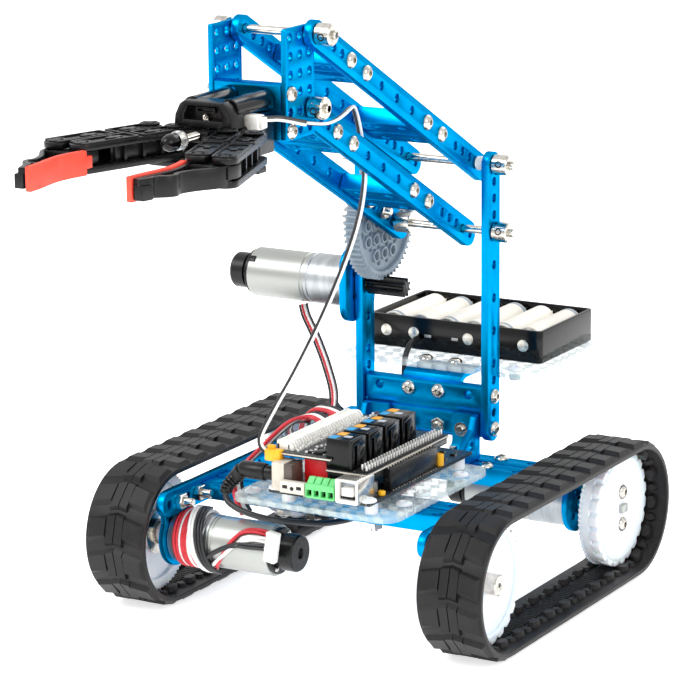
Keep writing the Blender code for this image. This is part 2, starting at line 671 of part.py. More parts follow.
def add_lead_screw(wrist):
    """The screw on the motor's axis, with its end knob, and the nut on it."""
    z = SCREW_Z - 3
    screw_body = make_body("lead_screw_axis", (GRIP_X, -193, z))
    nut_body = make_body("screw_nut_slide", (GRIP_X, -206, z))
    screw = rod_mesh((GRIP_X, -193.5, z), (GRIP_X, -228, z), 1.5, 10)
    screw = finish("lead_screw", screw, STEEL, screw_body)
    knob = rod_mesh((GRIP_X, -219, z), (GRIP_X, -227, z), 3.9, 12)
    dome = rod_mesh((GRIP_X, -226.5, z), (GRIP_X, -234, z), 3.6, 12, 1.6)
    combine(screw, [knob, dome], "UNION")
    nut = box_mesh((GRIP_X - 5.5, -209.0, z - 3.8), (GRIP_X + 5.5, -203.0, z + 1.6))
    nut = finish("screw_nut", nut, STEEL, nut_body)
    bore = rod_mesh((GRIP_X, -222, z), (GRIP_X, -190, z), 1.9, 10)
    combine(nut, [bore], "DIFFERENCE")


def lever_end(pivot, sign):
    """Where the front hole of a lever is in the open pose."""
    x = GRIP_X + sign * (pivot[0] + LEVER_LENGTH * math.sin(OPEN_ANGLE))
    return x, pivot[1] - LEVER_LENGTH * math.cos(OPEN_ANGLE)


def add_jaw(side, sign):
    """Two levers on the housing's base and the finger across their front ends."""
    top = GRIP_TOP_Z - 0.6 - GAP
    for kind, pivot in (("inner", INNER_PIVOT), ("outer", OUTER_PIVOT)):
        x, y = GRIP_X + sign * pivot[0], pivot[1]
        body = make_body("lever_" + kind + "_" + side + "_axis", (x, y, top))
        angle = math.degrees(-math.pi / 2 + sign * OPEN_ANGLE)
        name = "lever_" + kind + "_" + side
        lower = top - 13.2
        bar = bar_outline(LEVER_LENGTH, 4.6, 5)
        slot = block_outline(9, LEVER_LENGTH - 9, -1.2, 1.2)
        upper_bar = flat_mesh([bar, slot], LEVER_THICK, facing(x, y, top - LEVER_THICK / 2, angle, "z"))
        lever = finish(name, upper_bar, BLACK, body)
        lower_bar = flat_mesh([bar, slot], LEVER_THICK, facing(x, y, lower + LEVER_THICK / 2, angle, "z"))
        post = rod_mesh((x, y, lower + 1), (x, y, top - 1), 3.0, 10)
        combine(lever, [post, lower_bar], "UNION")
    add_finger(side, sign, top)


def add_finger(side, sign, top):
    """A finger held between the levers' layers, with its gripping face inward."""
    inner, outer = lever_end(INNER_PIVOT, sign), lever_end(OUTER_PIVOT, sign)
    body = make_body("finger_" + side + "_axis", (*inner, top))
    high, low = top - LEVER_THICK - GAP, top - 13.2 + LEVER_THICK + GAP
    face = GRIP_X + sign * 22.4
    tip = inner[1] - FINGER_LENGTH + 6
    outline = [(inner[0] - sign * 5, inner[1] + 5), (outer[0] + sign * 5, outer[1] + 5),
               (outer[0] + sign * 5, outer[1] - 6), (face + sign * 15, tip + 22),
               (face + sign * 9.5, tip + 1), (face + sign * 2, tip), (face, tip + 3),
               (face + sign * 2.5, tip + 18), (inner[0] - sign * 6, inner[1] - 8)]
    if sign > 0:
        outline.reverse()
    mesh = flat_mesh([outline], high - low, facing(0, 0, (high + low) / 2, 0, "z"))
    finger = finish("finger_" + side, mesh, BLACK, body)
    tall_outline = outline[3:8] if sign < 0 else outline[1:6]
    tall = flat_mesh([tall_outline], 10.6, facing(0, 0, (high + low) / 2, 0, "z"))
    combine(finger, [tall], "UNION")


# ---------------------------------------------------------------- boards, battery

def add_deck():
    """Board plate with the two stacked boards."""
    x0, x1, y0, y1 = BOARD_PLATE
    z = DECK_TOP_Z + GAP
    holes = [circle(x, y, 2.2) for x in (-24, -8, 8, 24, 40) for y in (-112, -96, -80, -52)]
    mesh = flat_mesh([block_outline(x0, x1, y0, y1, 10, 4)] + holes, 2.8, facing(0, 0, z + 1.4, 0, "z"))
    finish("board_plate", mesh, ACRYLIC, FRAME)
    add_main_board(z + 2.8 + GAP)
    add_driver_board()


def add_main_board(plate_top):
    """Main board on four standoffs, with its ports, and the socket strip for the driver board."""
    x0, x1, y0, y1 = MAIN_BOARD
    z = MAIN_BOARD_Z
    board = finish("main_board", box_mesh((x0, y0, z), (x1, y1, z + 1.6)), PCB, FRAME)
    parts = [rod_mesh((x, y, plate_top), (x, y, z + 0.8), 3.0, 10)
             for x in (x0 + 5, x1 - 5) for y in (y0 + 6, y1 - 8)]
    parts += [box_mesh((24.2, -131.5, z + 1), (35.4, -116, z + 11.4)),
              box_mesh((7.8, -131.5, z + 1.1), (23.0, -123, z + 10.9)),
              box_mesh((-5.1, -131.5, z + 1.2), (6.8, -121, z + 8)),
              box_mesh((-13.0, -128, z + 1), (-1.6, -117, z + 14.6)),
              box_mesh((33, -106, z + 0.9), (37.4, -50, z + 10.0))]
    combine(board, parts, "UNION")


def add_driver_board():
    """Driver board in two steps, with four socket blocks and the lead connector strip."""
    x0, x1, y0, y1 = DRIVER_BOARD
    z = DRIVER_BOARD_Z
    board = finish("driver_board", box_mesh((x0, y0, z), (x1, y1, z + 1.6)), PCB, FRAME)
    left, right, front, back = COMB_BOARD
    high = COMB_BOARD_Z
    parts = [box_mesh((left, front, high), (right, back, high + 1.6)),
             box_mesh((left + 0.3, front + 4, high + 1), (left + 7.1, back - 4, high + 5.6))]
    for i in range(4):
        y = y0 + 1.5 + 15.7 * i
        parts.append(box_mesh((12.7, y, z + 1), (26.3, y + 13.0, z + 15.4)))
    combine(board, parts, "UNION")


def add_battery():
    """Bent bracket, acrylic plate, open battery box and its six cells."""
    back = SLAB_THICK / 2 + GAP
    bend = BATTERY_PLATE_Z - GAP
    profile = [(back, UPRIGHT_FOOT_Z), (back + 2.5, UPRIGHT_FOOT_Z), (back + 2.5, bend - 2.5),
               (44, bend - 2.5), (44, bend), (back, bend)]
    mesh = flat_mesh([profile], 40, facing(8, 0, 0, 0))
    finish("battery_bracket", mesh, BLUE, FRAME)
    x0, x1, y0, y1 = BATTERY_PLATE
    holes = [circle(x, y, 2.2) for x in (-40, -24, 24, 40) for y in (16, 92)]
    holes.append(circle(-19.5, 13.0, 4.0, 12))
    frame = facing(0, 0, BATTERY_PLATE_Z + 1.4, 0, "z")
    mesh = flat_mesh([block_outline(x0, x1, y0, y1, 10, 4)] + holes, 2.8, frame)
    finish("battery_plate", mesh, ACRYLIC, FRAME)
    x0, x1, y0, y1 = BATTERY_BOX
    floor = BATTERY_PLATE_Z + 2.8 + GAP
    box = finish("battery_box", box_mesh((x0, y0, floor), (x1, y1, floor + BOX_HEIGHT)), BLACK, FRAME)
    hollow = box_mesh((x0 + 2, y0 + 2, floor + 1.6), (x1 - 2, y1 - 2, floor + BOX_HEIGHT + 5))
    combine(box, [hollow], "DIFFERENCE")
    add_cells(floor + 1.6 + GAP)


def add_cells(floor):
    """Six cells side by side, held together by the contact strips at both ends."""
    y0, y1 = BATTERY_BOX[2] + 3.2, BATTERY_BOX[3] - 3.2
    pitch = 14.9
    z = floor + CELL_R
    strip_low = floor + 4
    strip = box_mesh((-2.5 * pitch - 3, y0 - 0.8, strip_low), (2.5 * pitch + 3, y0 + 0.4, strip_low + 6))
    cells = finish("battery_cells", strip, CREAM, FRAME)
    tools = []
    for i in range(CELL_COUNT):
        x = (i - (CELL_COUNT - 1) / 2) * pitch
        tools.append(rod_mesh((x, y0, z), (x, y1, z), CELL_R, 14))
    combine(cells, tools, "UNION")


def add_leads():
    """Gripper lead in two lengths split on the arm, arm motor lead, battery lead."""
    lower = bpy.data.objects["lower_arm"]
    finish("gripper_lead_arm", tube_mesh(GRIPPER_LEAD_ARM, GRIPPER_LEAD_R), LEAD, lower)
    finish("gripper_lead_base", tube_mesh(GRIPPER_LEAD_BASE, GRIPPER_LEAD_R), LEAD, FRAME)
    finish("arm_motor_lead", tube_mesh(ARM_LEAD, ARM_LEAD_R), LEAD, FRAME)
    lead = finish("battery_lead", tube_mesh(BATTERY_LEAD, BATTERY_LEAD_R), LEAD, FRAME)
    end = Vector(BATTERY_LEAD[0])
    plug = rod_mesh(end + Vector((-0.6, 0, 1.4)), end + Vector((17.7, 0, 1.4)), 4.1, 14)
    combine(lead, [plug], "UNION")


FRAME = start_scene()
BLUE = make_material("anodised_blue", (0.0, 0.29, 0.67), 0.38, 0.85)
STEEL = make_material("steel", (0.72, 0.71, 0.69), 0.3, 1.0)
RUBBER = make_material("track_rubber", (0.025, 0.025, 0.027), 0.75, 0.0)
NYLON = make_material("white_nylon", (0.86, 0.88, 0.92), 0.45, 0.0)
BLACK = make_material("black_plastic", (0.025, 0.026, 0.03), 0.5, 0.0)
GEAR_GREY = make_material("gear_grey", (0.27, 0.33, 0.38), 0.5, 0.0)
ACRYLIC = make_material("clear_acrylic", (0.82, 0.88, 0.9), 0.12, 0.0)
PCB = make_material("circuit_board", (0.02, 0.03, 0.03), 0.45, 0.0)
CREAM = make_material("cell_sleeve", (0.78, 0.75, 0.69), 0.4, 0.0)
LEAD = make_material("lead_sheath", (0.03, 0.03, 0.03), 0.5, 0.0)

add_chassis()
add_crawlers()
add_uprights()
add_pivot_shafts()
add_arm()
add_wrist()
add_gripper()
add_deck()
add_battery()
add_leads()
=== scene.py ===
"""Looks of the tracked robot kit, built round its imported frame.

Lengths are millimetres in the arm frame of the CAD: x is 0 midway between the
uprights, y is 0 on the uprights' hole line and z is 0 on the ground. place()
turns such a point into the row frame in metres.
"""
import json
import math

import bmesh
import bpy
from mathutils import Matrix, Vector

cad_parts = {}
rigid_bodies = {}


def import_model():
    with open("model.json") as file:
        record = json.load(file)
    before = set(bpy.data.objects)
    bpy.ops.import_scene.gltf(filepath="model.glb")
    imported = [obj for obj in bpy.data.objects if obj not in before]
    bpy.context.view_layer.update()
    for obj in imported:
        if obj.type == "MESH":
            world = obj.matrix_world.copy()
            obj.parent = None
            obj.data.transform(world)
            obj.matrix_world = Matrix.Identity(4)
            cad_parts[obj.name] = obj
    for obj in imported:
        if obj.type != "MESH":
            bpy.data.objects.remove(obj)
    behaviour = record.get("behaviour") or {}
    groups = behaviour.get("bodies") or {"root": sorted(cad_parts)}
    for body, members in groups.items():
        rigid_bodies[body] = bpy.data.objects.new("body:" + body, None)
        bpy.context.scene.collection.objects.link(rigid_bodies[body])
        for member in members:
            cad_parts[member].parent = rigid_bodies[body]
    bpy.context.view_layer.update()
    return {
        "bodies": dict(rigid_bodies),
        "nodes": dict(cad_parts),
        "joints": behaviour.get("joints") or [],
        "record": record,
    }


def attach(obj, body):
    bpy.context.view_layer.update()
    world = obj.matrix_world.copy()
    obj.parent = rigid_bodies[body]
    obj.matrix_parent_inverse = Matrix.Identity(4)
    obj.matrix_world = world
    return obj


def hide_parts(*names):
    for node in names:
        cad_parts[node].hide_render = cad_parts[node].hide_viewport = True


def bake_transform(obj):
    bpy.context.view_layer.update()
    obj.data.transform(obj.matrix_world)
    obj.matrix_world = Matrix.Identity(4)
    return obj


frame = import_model()

MM = 0.001
SHIFT = Vector((1.3, 99.1, 0))          # puts the footprint's centre on the origin
ARM_ANGLE = math.radians(28.5)          # how far the links rise towards the gripper
LINK = 168                              # pivot to pivot along a link
LOWER_Z, UPPER_Z = 167.3, 199.3         # rear pivots of the two link pairs
PINION_Z = 135.3
WRIST_Y = -LINK * math.cos(ARM_ANGLE)
WRIST_RISE = LINK * math.sin(ARM_ANGLE)
AXLE_Z, FRONT_Y, REAR_Y = 33.5, -112, 24
SIDES = (("left", -1), ("right", 1))
BEAM_Z = 52.8                           # middle of the chassis beams
SLAB_Z = 79.3                           # middle of the slab between the uprights
BAR_LONG, BAR_UPRIGHT = 176, 128        # first to last hole of a bar
BELT_R = 30.5                           # middle line of a belt round its wheels
DRIVE_FACE = {-1: 71, 1: 67}            # inner face of each track motor's flange
IDLER_FACE = 67                         # inner face of an idler's flange
GRIP_X = 2.95                           # middle of the gripper
LEVER = 49.5                            # pivot to pivot along a lever
LEVER_X, LEVER_Y = (13, 25.5), -205     # rear pivots of the inner and outer levers
LEVER_TOP = 245.4
OPEN = math.radians(17.7)               # how far the levers spread
CELL_PITCH = 14.9
BOX_FLOOR = 97.9                        # underside of the battery box
PIN_STEP = 2.54
WIRE_R = 0.68
SMOOTH = 8                              # steps between two points of a route
EX = Vector((1, 0, 0))
EY = Vector((0, 1, 0))
EZ = Vector((0, 0, 1))


def place(point):
    """A point of the arm frame in the row frame, in metres."""
    return (Vector(point) + SHIFT) * MM


# ---- materials

def add_object(name, data):
    """A new object in the scene."""
    item = bpy.data.objects.new(name, data)
    bpy.context.scene.collection.objects.link(item)
    return item


def tree_of(name):
    """A new material, its node tree and its Principled shader."""
    material = bpy.data.materials.new(name)
    material.use_nodes = True
    tree = material.node_tree
    return material, tree, tree.nodes["Principled BSDF"]


def add_node(tree, kind, **values):
    """A node with some of its inputs or properties set."""
    item = tree.nodes.new(kind)
    for key, value in values.items():
        if key in item.inputs:
            item.inputs[key].default_value = value
        else:
            setattr(item, key.lower(), value)
    return item


def linear(text):
    """Linear RGBA of a hex colour."""
    parts = [int(text[i:i + 2], 16) / 255 for i in (0, 2, 4)]
    return (*[c / 12.92 if c <= 0.04045 else ((c + 0.055) / 1.055) ** 2.4 for c in parts], 1)


def surface(name, dark, light, rough, metallic, scale, bump=0, bump_scale=0, stretch=(1, 1, 1),
            **fixed):
    """A Principled material whose colour, gloss and grain vary over the object."""
    material, tree, shader = tree_of(name)
    link = tree.links.new
    coords = add_node(tree, "ShaderNodeTexCoord")
    mapping = add_node(tree, "ShaderNodeMapping")
    mapping.inputs["Scale"].default_value = stretch
    link(coords.outputs["Object"], mapping.inputs["Vector"])
    noise = add_node(tree, "ShaderNodeTexNoise", Scale=scale, Detail=4, Roughness=0.6)
    link(mapping.outputs["Vector"], noise.inputs["Vector"])
    ramp = add_node(tree, "ShaderNodeValToRGB")
    ramp.color_ramp.elements[0].position = 0.35
    ramp.color_ramp.elements[1].position = 0.65
    ramp.color_ramp.elements[0].color = linear(dark)
    ramp.color_ramp.elements[1].color = linear(light)
    link(noise.outputs["Fac"], ramp.inputs["Fac"])
    link(ramp.outputs["Color"], shader.inputs["Base Color"])
    spread = add_node(tree, "ShaderNodeMapRange")
    spread.inputs["To Min"].default_value = rough[0]
    spread.inputs["To Max"].default_value = rough[1]
    link(noise.outputs["Fac"], spread.inputs["Value"])
    link(spread.outputs["Result"], shader.inputs["Roughness"])
    shader.inputs["Metallic"].default_value = metallic
    if bump:
        grain = add_node(tree, "ShaderNodeTexNoise", Scale=bump_scale, Detail=3)
        link(mapping.outputs["Vector"], grain.inputs["Vector"])
        relief = add_node(tree, "ShaderNodeBump", Strength=bump, Distance=0.0002)
        link(grain.outputs["Fac"], relief.inputs["Height"])
        link(relief.outputs["Normal"], shader.inputs["Normal"])
    for key, value in fixed.items():
        shader.inputs[key.replace("_", " ")].default_value = value
    return material


def make_board_material():
    """Black solder resist with copper tracks and tinned pads showing through."""
    material, tree, shader = tree_of("circuit_board")
    link = tree.links.new
    coords = add_node(tree, "ShaderNodeTexCoord")
    cells = add_node(tree, "ShaderNodeTexVoronoi", Scale=420)
    cells.distance = "CHEBYCHEV"
    link(coords.outputs["Object"], cells.inputs["Vector"])
    ramp = add_node(tree, "ShaderNodeValToRGB")
    ramp.color_ramp.interpolation = "CONSTANT"
    ramp.color_ramp.elements[0].color = linear("8C8A80")
    ramp.color_ramp.elements[1].position = 0.13
    ramp.color_ramp.elements[1].color = linear("16181A")
    stop = ramp.color_ramp.elements.new(0.52)
    stop.color = linear("22282A")
    link(cells.outputs["Distance"], ramp.inputs["Fac"])
    link(ramp.outputs["Color"], shader.inputs["Base Color"])
    shader.inputs["Roughness"].default_value = 0.35
    relief = add_node(tree, "ShaderNodeBump", Strength=0.3, Distance=0.0002)
    link(cells.outputs["Distance"], relief.inputs["Height"])
    link(relief.outputs["Normal"], shader.inputs["Normal"])
    return material


def make_materials():
    """Every material, by a short name."""
    looks = {
        "blue": surface("anodised_blue", "0086C0", "0098D4", (0.3, 0.38), 1, 45, 0.25, 2600,
                        Specular_Tint=(0.2, 0.7, 1, 1)),
        "steel": surface("polished_steel", "B9B5AC", "DEDAD2", (0.12, 0.22), 1, 300, 0.12, 900),
        "can": surface("zinc_can", "A9ABA7", "C2C5C1", (0.33, 0.43), 0.9, 35, 0.12, 500, (0.1, 1, 1)),
        "gearbox": surface("gearbox_steel", "A3A7AA", "C0C4C6", (0.28, 0.38), 0.9, 35, 0.15, 600,
                           (6, 1, 1)),
        "rubber": surface("track_rubber", "110F0F", "1B1919", (0.36, 0.5), 0, 120, 0.35, 1800,
                          Specular_IOR_Level=0.3),
        "nylon": surface("white_nylon", "E9ECF4", "F6F8FD", (0.38, 0.5), 0, 60, 0.1, 900,
                         Subsurface_Weight=0.25, Subsurface_Scale=0.004),
        "black": surface("black_plastic", "0B0B0C", "141415", (0.22, 0.34), 0, 200, 0.2, 2200,
                         Specular_IOR_Level=0.3),
        "gloss_black": surface("gloss_black_plastic", "040405", "080809", (0.12, 0.2), 0, 200, 0.05, 900,
                               Specular_IOR_Level=0.3),
        "grey": surface("gear_grey", "7F8D98", "93A0AB", (0.42, 0.55), 0, 90, 0.2, 1500),
        "orange": surface("orange_pad", "EC3F28", "F9503A", (0.45, 0.6), 0, 80, 0.3, 1800,
                          Subsurface_Weight=0.12, Subsurface_Scale=0.002),
        "clear": surface("clear_acrylic", "D9EBE8", "FAFDFC", (0.1, 0.18), 0, 40, Alpha=0.36),
        "knob": surface("clear_knob", "E6E8EA", "FFFFFF", (0.05, 0.1), 0, 120, 0.1, 500,
                        Transmission_Weight=0.8, IOR=1.4),
        "board": make_board_material(),
        "cell": surface("cell_sleeve", "E9E4D9", "F3EFE6", (0.26, 0.36), 0, 50, 0.1, 700),
        "green": surface("green_plastic", "5FC873", "74D886", (0.35, 0.5), 0, 150, 0.2, 900),
        "tin": surface("tinned_pins", "C9C6BC", "E5E2D9", (0.2, 0.35), 1, 400, 0.2, 900),
        "shell": surface("socket_shell", "D9D5CC", "EFECE4", (0.16, 0.26), 0.85, 200, 0.2, 500),
        "bright": surface("bright_pins", "E8E7E2", "FAF9F6", (0.3, 0.4), 0.3, 400, 0.1, 900),
    }
    for key, dark, light, rough in (("cream", "CDC7BA", "DCD6CA", (0.35, 0.5)),
                                    ("beige", "C2B9AC", "D2CABD", (0.35, 0.5)),
                                    ("white", "EDEBE4", "F8F7F2", (0.3, 0.45)),
                                    ("yellow", "F2A90C", "FFC21F", (0.3, 0.45)),
                                    ("brown", "4A3F39", "5A4E47", (0.3, 0.45)),
                                    ("red", "E8101A", "F61C26", (0.35, 0.5))):
        looks[key] = surface(key + "_plastic", dark, light, rough, 0, 150, 0.15, 900)
    for key, name, dark, light, rough in (("wire_red", "red_wire", "C4202B", "D8303A", (0.32, 0.42)),
                                          ("wire_white", "white_wire", "E4E3E0", "F3F2EF", (0.32, 0.42)),
                                          ("wire_black", "black_wire", "19191B", "252528", (0.3, 0.4)),
                                          ("label_blue", "blue_mark", "1E93CC", "2BA3DB", (0.4, 0.5)),
                                          ("label_orange", "orange_mark", "EBA329", "F5B23C",
                                           (0.4, 0.5)),
                                          ("label_grey", "grey_mark", "A9B2BC", "C3CBD3", (0.4, 0.5))):
        looks[key] = surface(name, dark, light, rough, 0, 200, 0.1, 900)
    return looks


# ---- shapes

def frame_at(axes, spot):
    """Matrix with three axes as its columns, at a spot."""
    matrix = Matrix(axes).transposed().to_4x4()
    matrix.translation = spot
    return matrix


def facing(x, y, z, angle=90):
    """Frame of a flat piece that stands in the y-z plane."""
    a = math.radians(angle)
    c, s = math.cos(a), math.sin(a)
    return frame_at(((0, c, s), (0, -s, c), (1, 0, 0)), (x, y, z))


def level(x, y, z, angle=0):
    """Frame of a flat piece that lies flat."""
    a = math.radians(angle)
    c, s = math.cos(a), math.sin(a)
    return frame_at(((c, s, 0), (-s, c, 0), (0, 0, 1)), (x, y, z))


def front(x, y, z):
    """Frame of a flat piece that faces -y."""
    return frame_at(((1, 0, 0), (0, 0, 1), (0, -1, 0)), (x, y, z))


def along(start, direction):
    """Frame with its w axis along a direction, for round pieces."""
    turn = EZ.rotation_difference(Vector(direction)).to_matrix().to_4x4()
    return Matrix.Translation(Vector(start)) @ turn


def polar(radius, angle):
    """A point of an outline by its distance and angle."""
    return radius * math.cos(angle), radius * math.sin(angle)


def circle(u, v, radius, sides=20):
    """Points of a round outline."""
    steps = [2 * math.pi * i / sides for i in range(sides)]
    return [(u + radius * math.cos(a), v + radius * math.sin(a)) for a in steps]


def bar_outline(length, radius):
    """A bar with round ends, from u = 0 to u = length between its end holes."""
    arc = 14
    right = [math.pi * (i / arc - 0.5) for i in range(arc + 1)]
    points = [(length + radius * math.cos(a), radius * math.sin(a)) for a in right]
    return points + [(-radius * math.cos(a), -radius * math.sin(a)) for a in right]


def block_outline(u0, u1, v0, v1, radius=0, arc=6):
    """A rectangle, with rounded corners if radius isn't 0."""
    if not radius:
        return rectangle(u0, u1, v0, v1)
    corners = ((u1 - radius, v0 + radius, -90), (u1 - radius, v1 - radius, 0),
               (u0 + radius, v1 - radius, 90), (u0 + radius, v0 + radius, 180))
    points = []
    for u, v, start in corners:
        for i in range(arc + 1):
            a = math.radians(start + 90 * i / arc)
            points.append((u + radius * math.cos(a), v + radius * math.sin(a)))
    return points


def bolt_holes():
    """Four small holes on the bolt circle of a gear motor's face."""
    return [circle(*polar(8.2, math.pi / 4 * k), 1.5, 12) for k in (1, 3, 5, 7)]


def rectangle(u0, u1, v0, v1):
    """Four corners of a rectangle."""
    return [(u0, v0), (u1, v0), (u1, v1), (u0, v1)]


def bar_holes(length):
    """Hole places along a bar."""
    count = int((length - 64) / 16)
    places = [8 * i for i in range(5)] + [32 + 16 * i for i in range(1, count + 1)]
    return sorted(set(places + [length - 8 * i for i in range(5)]))


def smooth_route(points, steps):
    """Catmull-Rom points through a route."""
    points = [Vector(p) for p in points]
    route = []
    for i in range(len(points) - 1):
        before = points[max(i - 1, 0)]
        a, b = points[i], points[i + 1]
        after = points[min(i + 2, len(points) - 1)]
        for k in range(steps):
            t = k / steps
            route.append(0.5 * (2 * a + (b - before) * t
                                + (2 * before - 5 * a + 4 * b - after) * t * t
                                + (3 * a - before - 3 * b + after) * t ** 3))
    return route + [points[-1]]


class Piece:
    """One visible piece, gathered from closed shapes, each in one material."""

    def __init__(self, name):
        self.name = name
        self.work = bmesh.new()
        self.slots = []

    def index(self, key):
        """Slot number of a material."""
        if key not in self.slots:
            self.slots.append(key)
        return self.slots.index(key)

    def take(self, other, key, matrix=None):
        """Add another bmesh, moved by a matrix, in one material."""
        if matrix is not None:
            bmesh.ops.transform(other, matrix=matrix, verts=other.verts)
        number = self.index(key)
        for face in other.faces:
            face.material_index = number
        mesh = bpy.data.meshes.new("part")
        other.to_mesh(mesh)
        other.free()
        self.work.from_mesh(mesh)
        bpy.data.meshes.remove(mesh)

    def flat(self, outlines, thickness, frame, key, edge=0.3):
        """A flat shape with holes and rounded edges."""
        curve = bpy.data.curves.new("outline", "CURVE")
        curve.dimensions = "2D"
        curve.fill_mode = "BOTH"
        edge = min(edge, thickness * 0.45)
        curve.extrude = thickness / 2 - edge
        curve.bevel_depth = edge
        curve.bevel_resolution = 1
        curve.offset = -edge
        for points in outlines:
            spline = curve.splines.new("POLY")
            spline.points.add(len(points) - 1)
            for point, (u, v) in zip(spline.points, points):
                point.co = (u, v, 0, 1)
            spline.use_cyclic_u = True
        self.add_curve(curve, frame, key)

    def add_curve(self, curve, frame, key):
        """Add a curve's own surface."""
        item = add_object("curve", curve)
        shown = item.evaluated_get(bpy.context.evaluated_depsgraph_get())
        mesh = bpy.data.meshes.new_from_object(shown)
        bpy.data.objects.remove(item)
        work = bmesh.new()
        work.from_mesh(mesh)
        bpy.data.meshes.remove(mesh)
        bmesh.ops.remove_doubles(work, verts=work.verts, dist=0.001)
        bmesh.ops.recalc_face_normals(work, faces=work.faces)
        self.take(work, key, frame)

    def box(self, low, high, key, edge=0.3, frame=None):
        """A block with softened edges."""
        work = bmesh.new()
        low, high = Vector(low), Vector(high)
        matrix = Matrix.Translation((low + high) / 2) @ Matrix.Diagonal((*(high - low), 1))
        bmesh.ops.create_cube(work, size=1, matrix=matrix)
        if edge:
            bmesh.ops.bevel(work, geom=work.edges[:], offset=edge, segments=2, profile=0.5,
                            affect="EDGES")
        self.take(work, key, frame)

    def turned(self, profile, start, direction, key, sides=32):
        """A solid of revolution of (radius, height) points; a negative radius is a hexagon's."""
        work = bmesh.new()
        rings = []
        for radius, height in profile:
            ring = []
            for i in range(sides):
                a = 2 * math.pi * i / sides
                reach = radius
                if radius < 0:
                    reach = -radius / math.cos((a + math.pi / 6) % (math.pi / 3) - math.pi / 6)
                ring.append(work.verts.new((reach * math.cos(a), reach * math.sin(a), height)))
            rings.append(ring)
        for low, high in zip(rings, rings[1:]):
            for i in range(sides):
                k = (i + 1) % sides
                work.faces.new((low[i], low[k], high[k], high[i]))
        work.faces.new(rings[0])
        work.faces.new(rings[-1])
        bmesh.ops.recalc_face_normals(work, faces=work.faces)
        self.take(work, key, along(start, direction))

    def tube(self, points, radius, key, steps, resolution):
        """A wire through points, smoothed if steps isn't 0."""
        curve = bpy.data.curves.new("wire", "CURVE")
        curve.dimensions = "3D"
        curve.bevel_depth = radius
        curve.bevel_resolution = resolution
        curve.use_fill_caps = True
        route = smooth_route(points, steps) if steps else [Vector(p) for p in points]
        spline = curve.splines.new("POLY")
        spline.points.add(len(route) - 1)
        for point, spot in zip(spline.points, route):
            point.co = (*spot, 1)
        self.add_curve(curve, Matrix.Identity(4), key)

    def screw(self, spot, direction, key="steel", radius=3.7):
        """A button head with a hexagon socket."""
        r = radius
        profile = [(r * 0.6, -0.1), (r, 0), (r, 0.35), (r * 0.93, 0.95), (r * 0.76, 1.6), (r * 0.52, 2),
                   (-1.25, 2.1), (-1.2, 0.7), (0.2, 0.5)]
        self.turned(profile, spot, direction, key, 24)

    def nut(self, spot, direction, reach):
        """A hexagon nut with the end of its screw."""
        profile = [(-3.1, -0.1), (-3.4, 0.25), (-3.4, 2.7), (-3.05, 3), (1.95, 3), (1.95, 3 + reach),
                   (1.5, 3.3 + reach)]
        self.turned(profile, spot, direction, "steel", 24)

    def collar(self, spot, direction, length, socket, shaft):
        """A shaft collar with its grub screw, and the end of the shaft."""
        r = 4.9
        end = length + shaft
        profile = [(2.2, 0), (r - 0.4, 0), (r, 0.4), (r, length - 0.5), (r - 0.5, length), (2.3, length),
                   (2, length - 0.3), (1.9, length - 0.3), (1.9, end - 0.4), (1.5, end)]
        self.turned(profile, spot, direction, "steel")
        centre = Vector(spot) + Vector(direction) * length * 0.5 + Vector(socket) * (r - 0.9)
        grub = [(1.7, 0), (1.7, 0.95), (1.35, 0.98), (-1, 0.8), (0.2, 0.3)]
        self.turned(grub, centre, socket, "black", 18)

    def done(self, body, *nodes, angle=32, bend=None):
        """Make the object on its body, or loose in the world frame if bend is given, to stand for CAD
        nodes.
        """
        mesh = bpy.data.meshes.new(self.name)
        matrix = Matrix.Scale(MM, 4) @ Matrix.Translation(SHIFT)
        bmesh.ops.transform(self.work, matrix=matrix, verts=self.work.verts)
        self.work.to_mesh(mesh)
        self.work.free()
        for key in self.slots:
            mesh.materials.append(MATERIALS[key])
        mesh.polygons.foreach_set("use_smooth", [True] * len(mesh.polygons))
        mesh.set_sharp_from_angle(angle=math.radians(angle))
        item = add_object(self.name, mesh)
        if bend:
            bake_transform(item)
        else:
            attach(item, body)
        if nodes:
            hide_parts(*nodes)
        return item


# ---- bars and plates

def bar(name, length, frame, body, node, bearings=()):
    """A perforated blue bar."""
    piece = Piece(name)
    outlines = [bar_outline(length, 6)]
    for u in bar_holes(length):
        outlines.append(circle(u, 0, 2.15 if u in bearings else 2.05))
    piece.flat(outlines, 4, frame, "blue", 0.35)
    return piece.done(body, node)


def slab(piece, length, places, frame):
    """A 24 x 8 slab: two perforated rails joined by a web, with a groove between them."""
    for side in (-1, 1):
        outline = block_outline(-length / 2, length / 2, side * 6.55 - 5.45, side * 6.55 + 5.45)
        piece.flat([outline] + [circle(u, side * 8, 2.05) for u in places], 8, frame, "blue", 0.45)
    piece.flat([block_outline(-length / 2 + 0.1, length / 2 - 0.1, -1.6, 1.6)], 5.6, frame, "blue", 0.1)


def make_chassis():
    """Side beams, crossbeams, uprights and angle brackets, with their screws."""
    for side, sign in SIDES:
        frame = facing(sign * 68, -128, BEAM_Z, 0)
        bar("beam_side_" + side, BAR_LONG, frame, "chassis", "side_beam_" + side)
        frame = facing(sign * 34, 0, 71.3)
        bar("beam_upright_" + side, BAR_UPRIGHT, frame, "chassis", "upright_" + side, (96, 128))
    places = [8 * k for k in range(-7, 8, 2)]
    for end, y in (("front", -88), ("rear", -8)):
        piece = Piece("slab_" + end)
        slab(piece, 131.4, places, level(0, y, BEAM_Z))
        piece.done("chassis", "crossbeam_" + end)
    piece = Piece("slab_uprights")
    slab(piece, 63.4, [-24, -8, 8, 24], front(0, 0, SLAB_Z))
    piece.done("chassis", "upright_crossbeam")
    for side, sign in SIDES:
        make_angle_bracket(side, sign)
    make_chassis_screws()


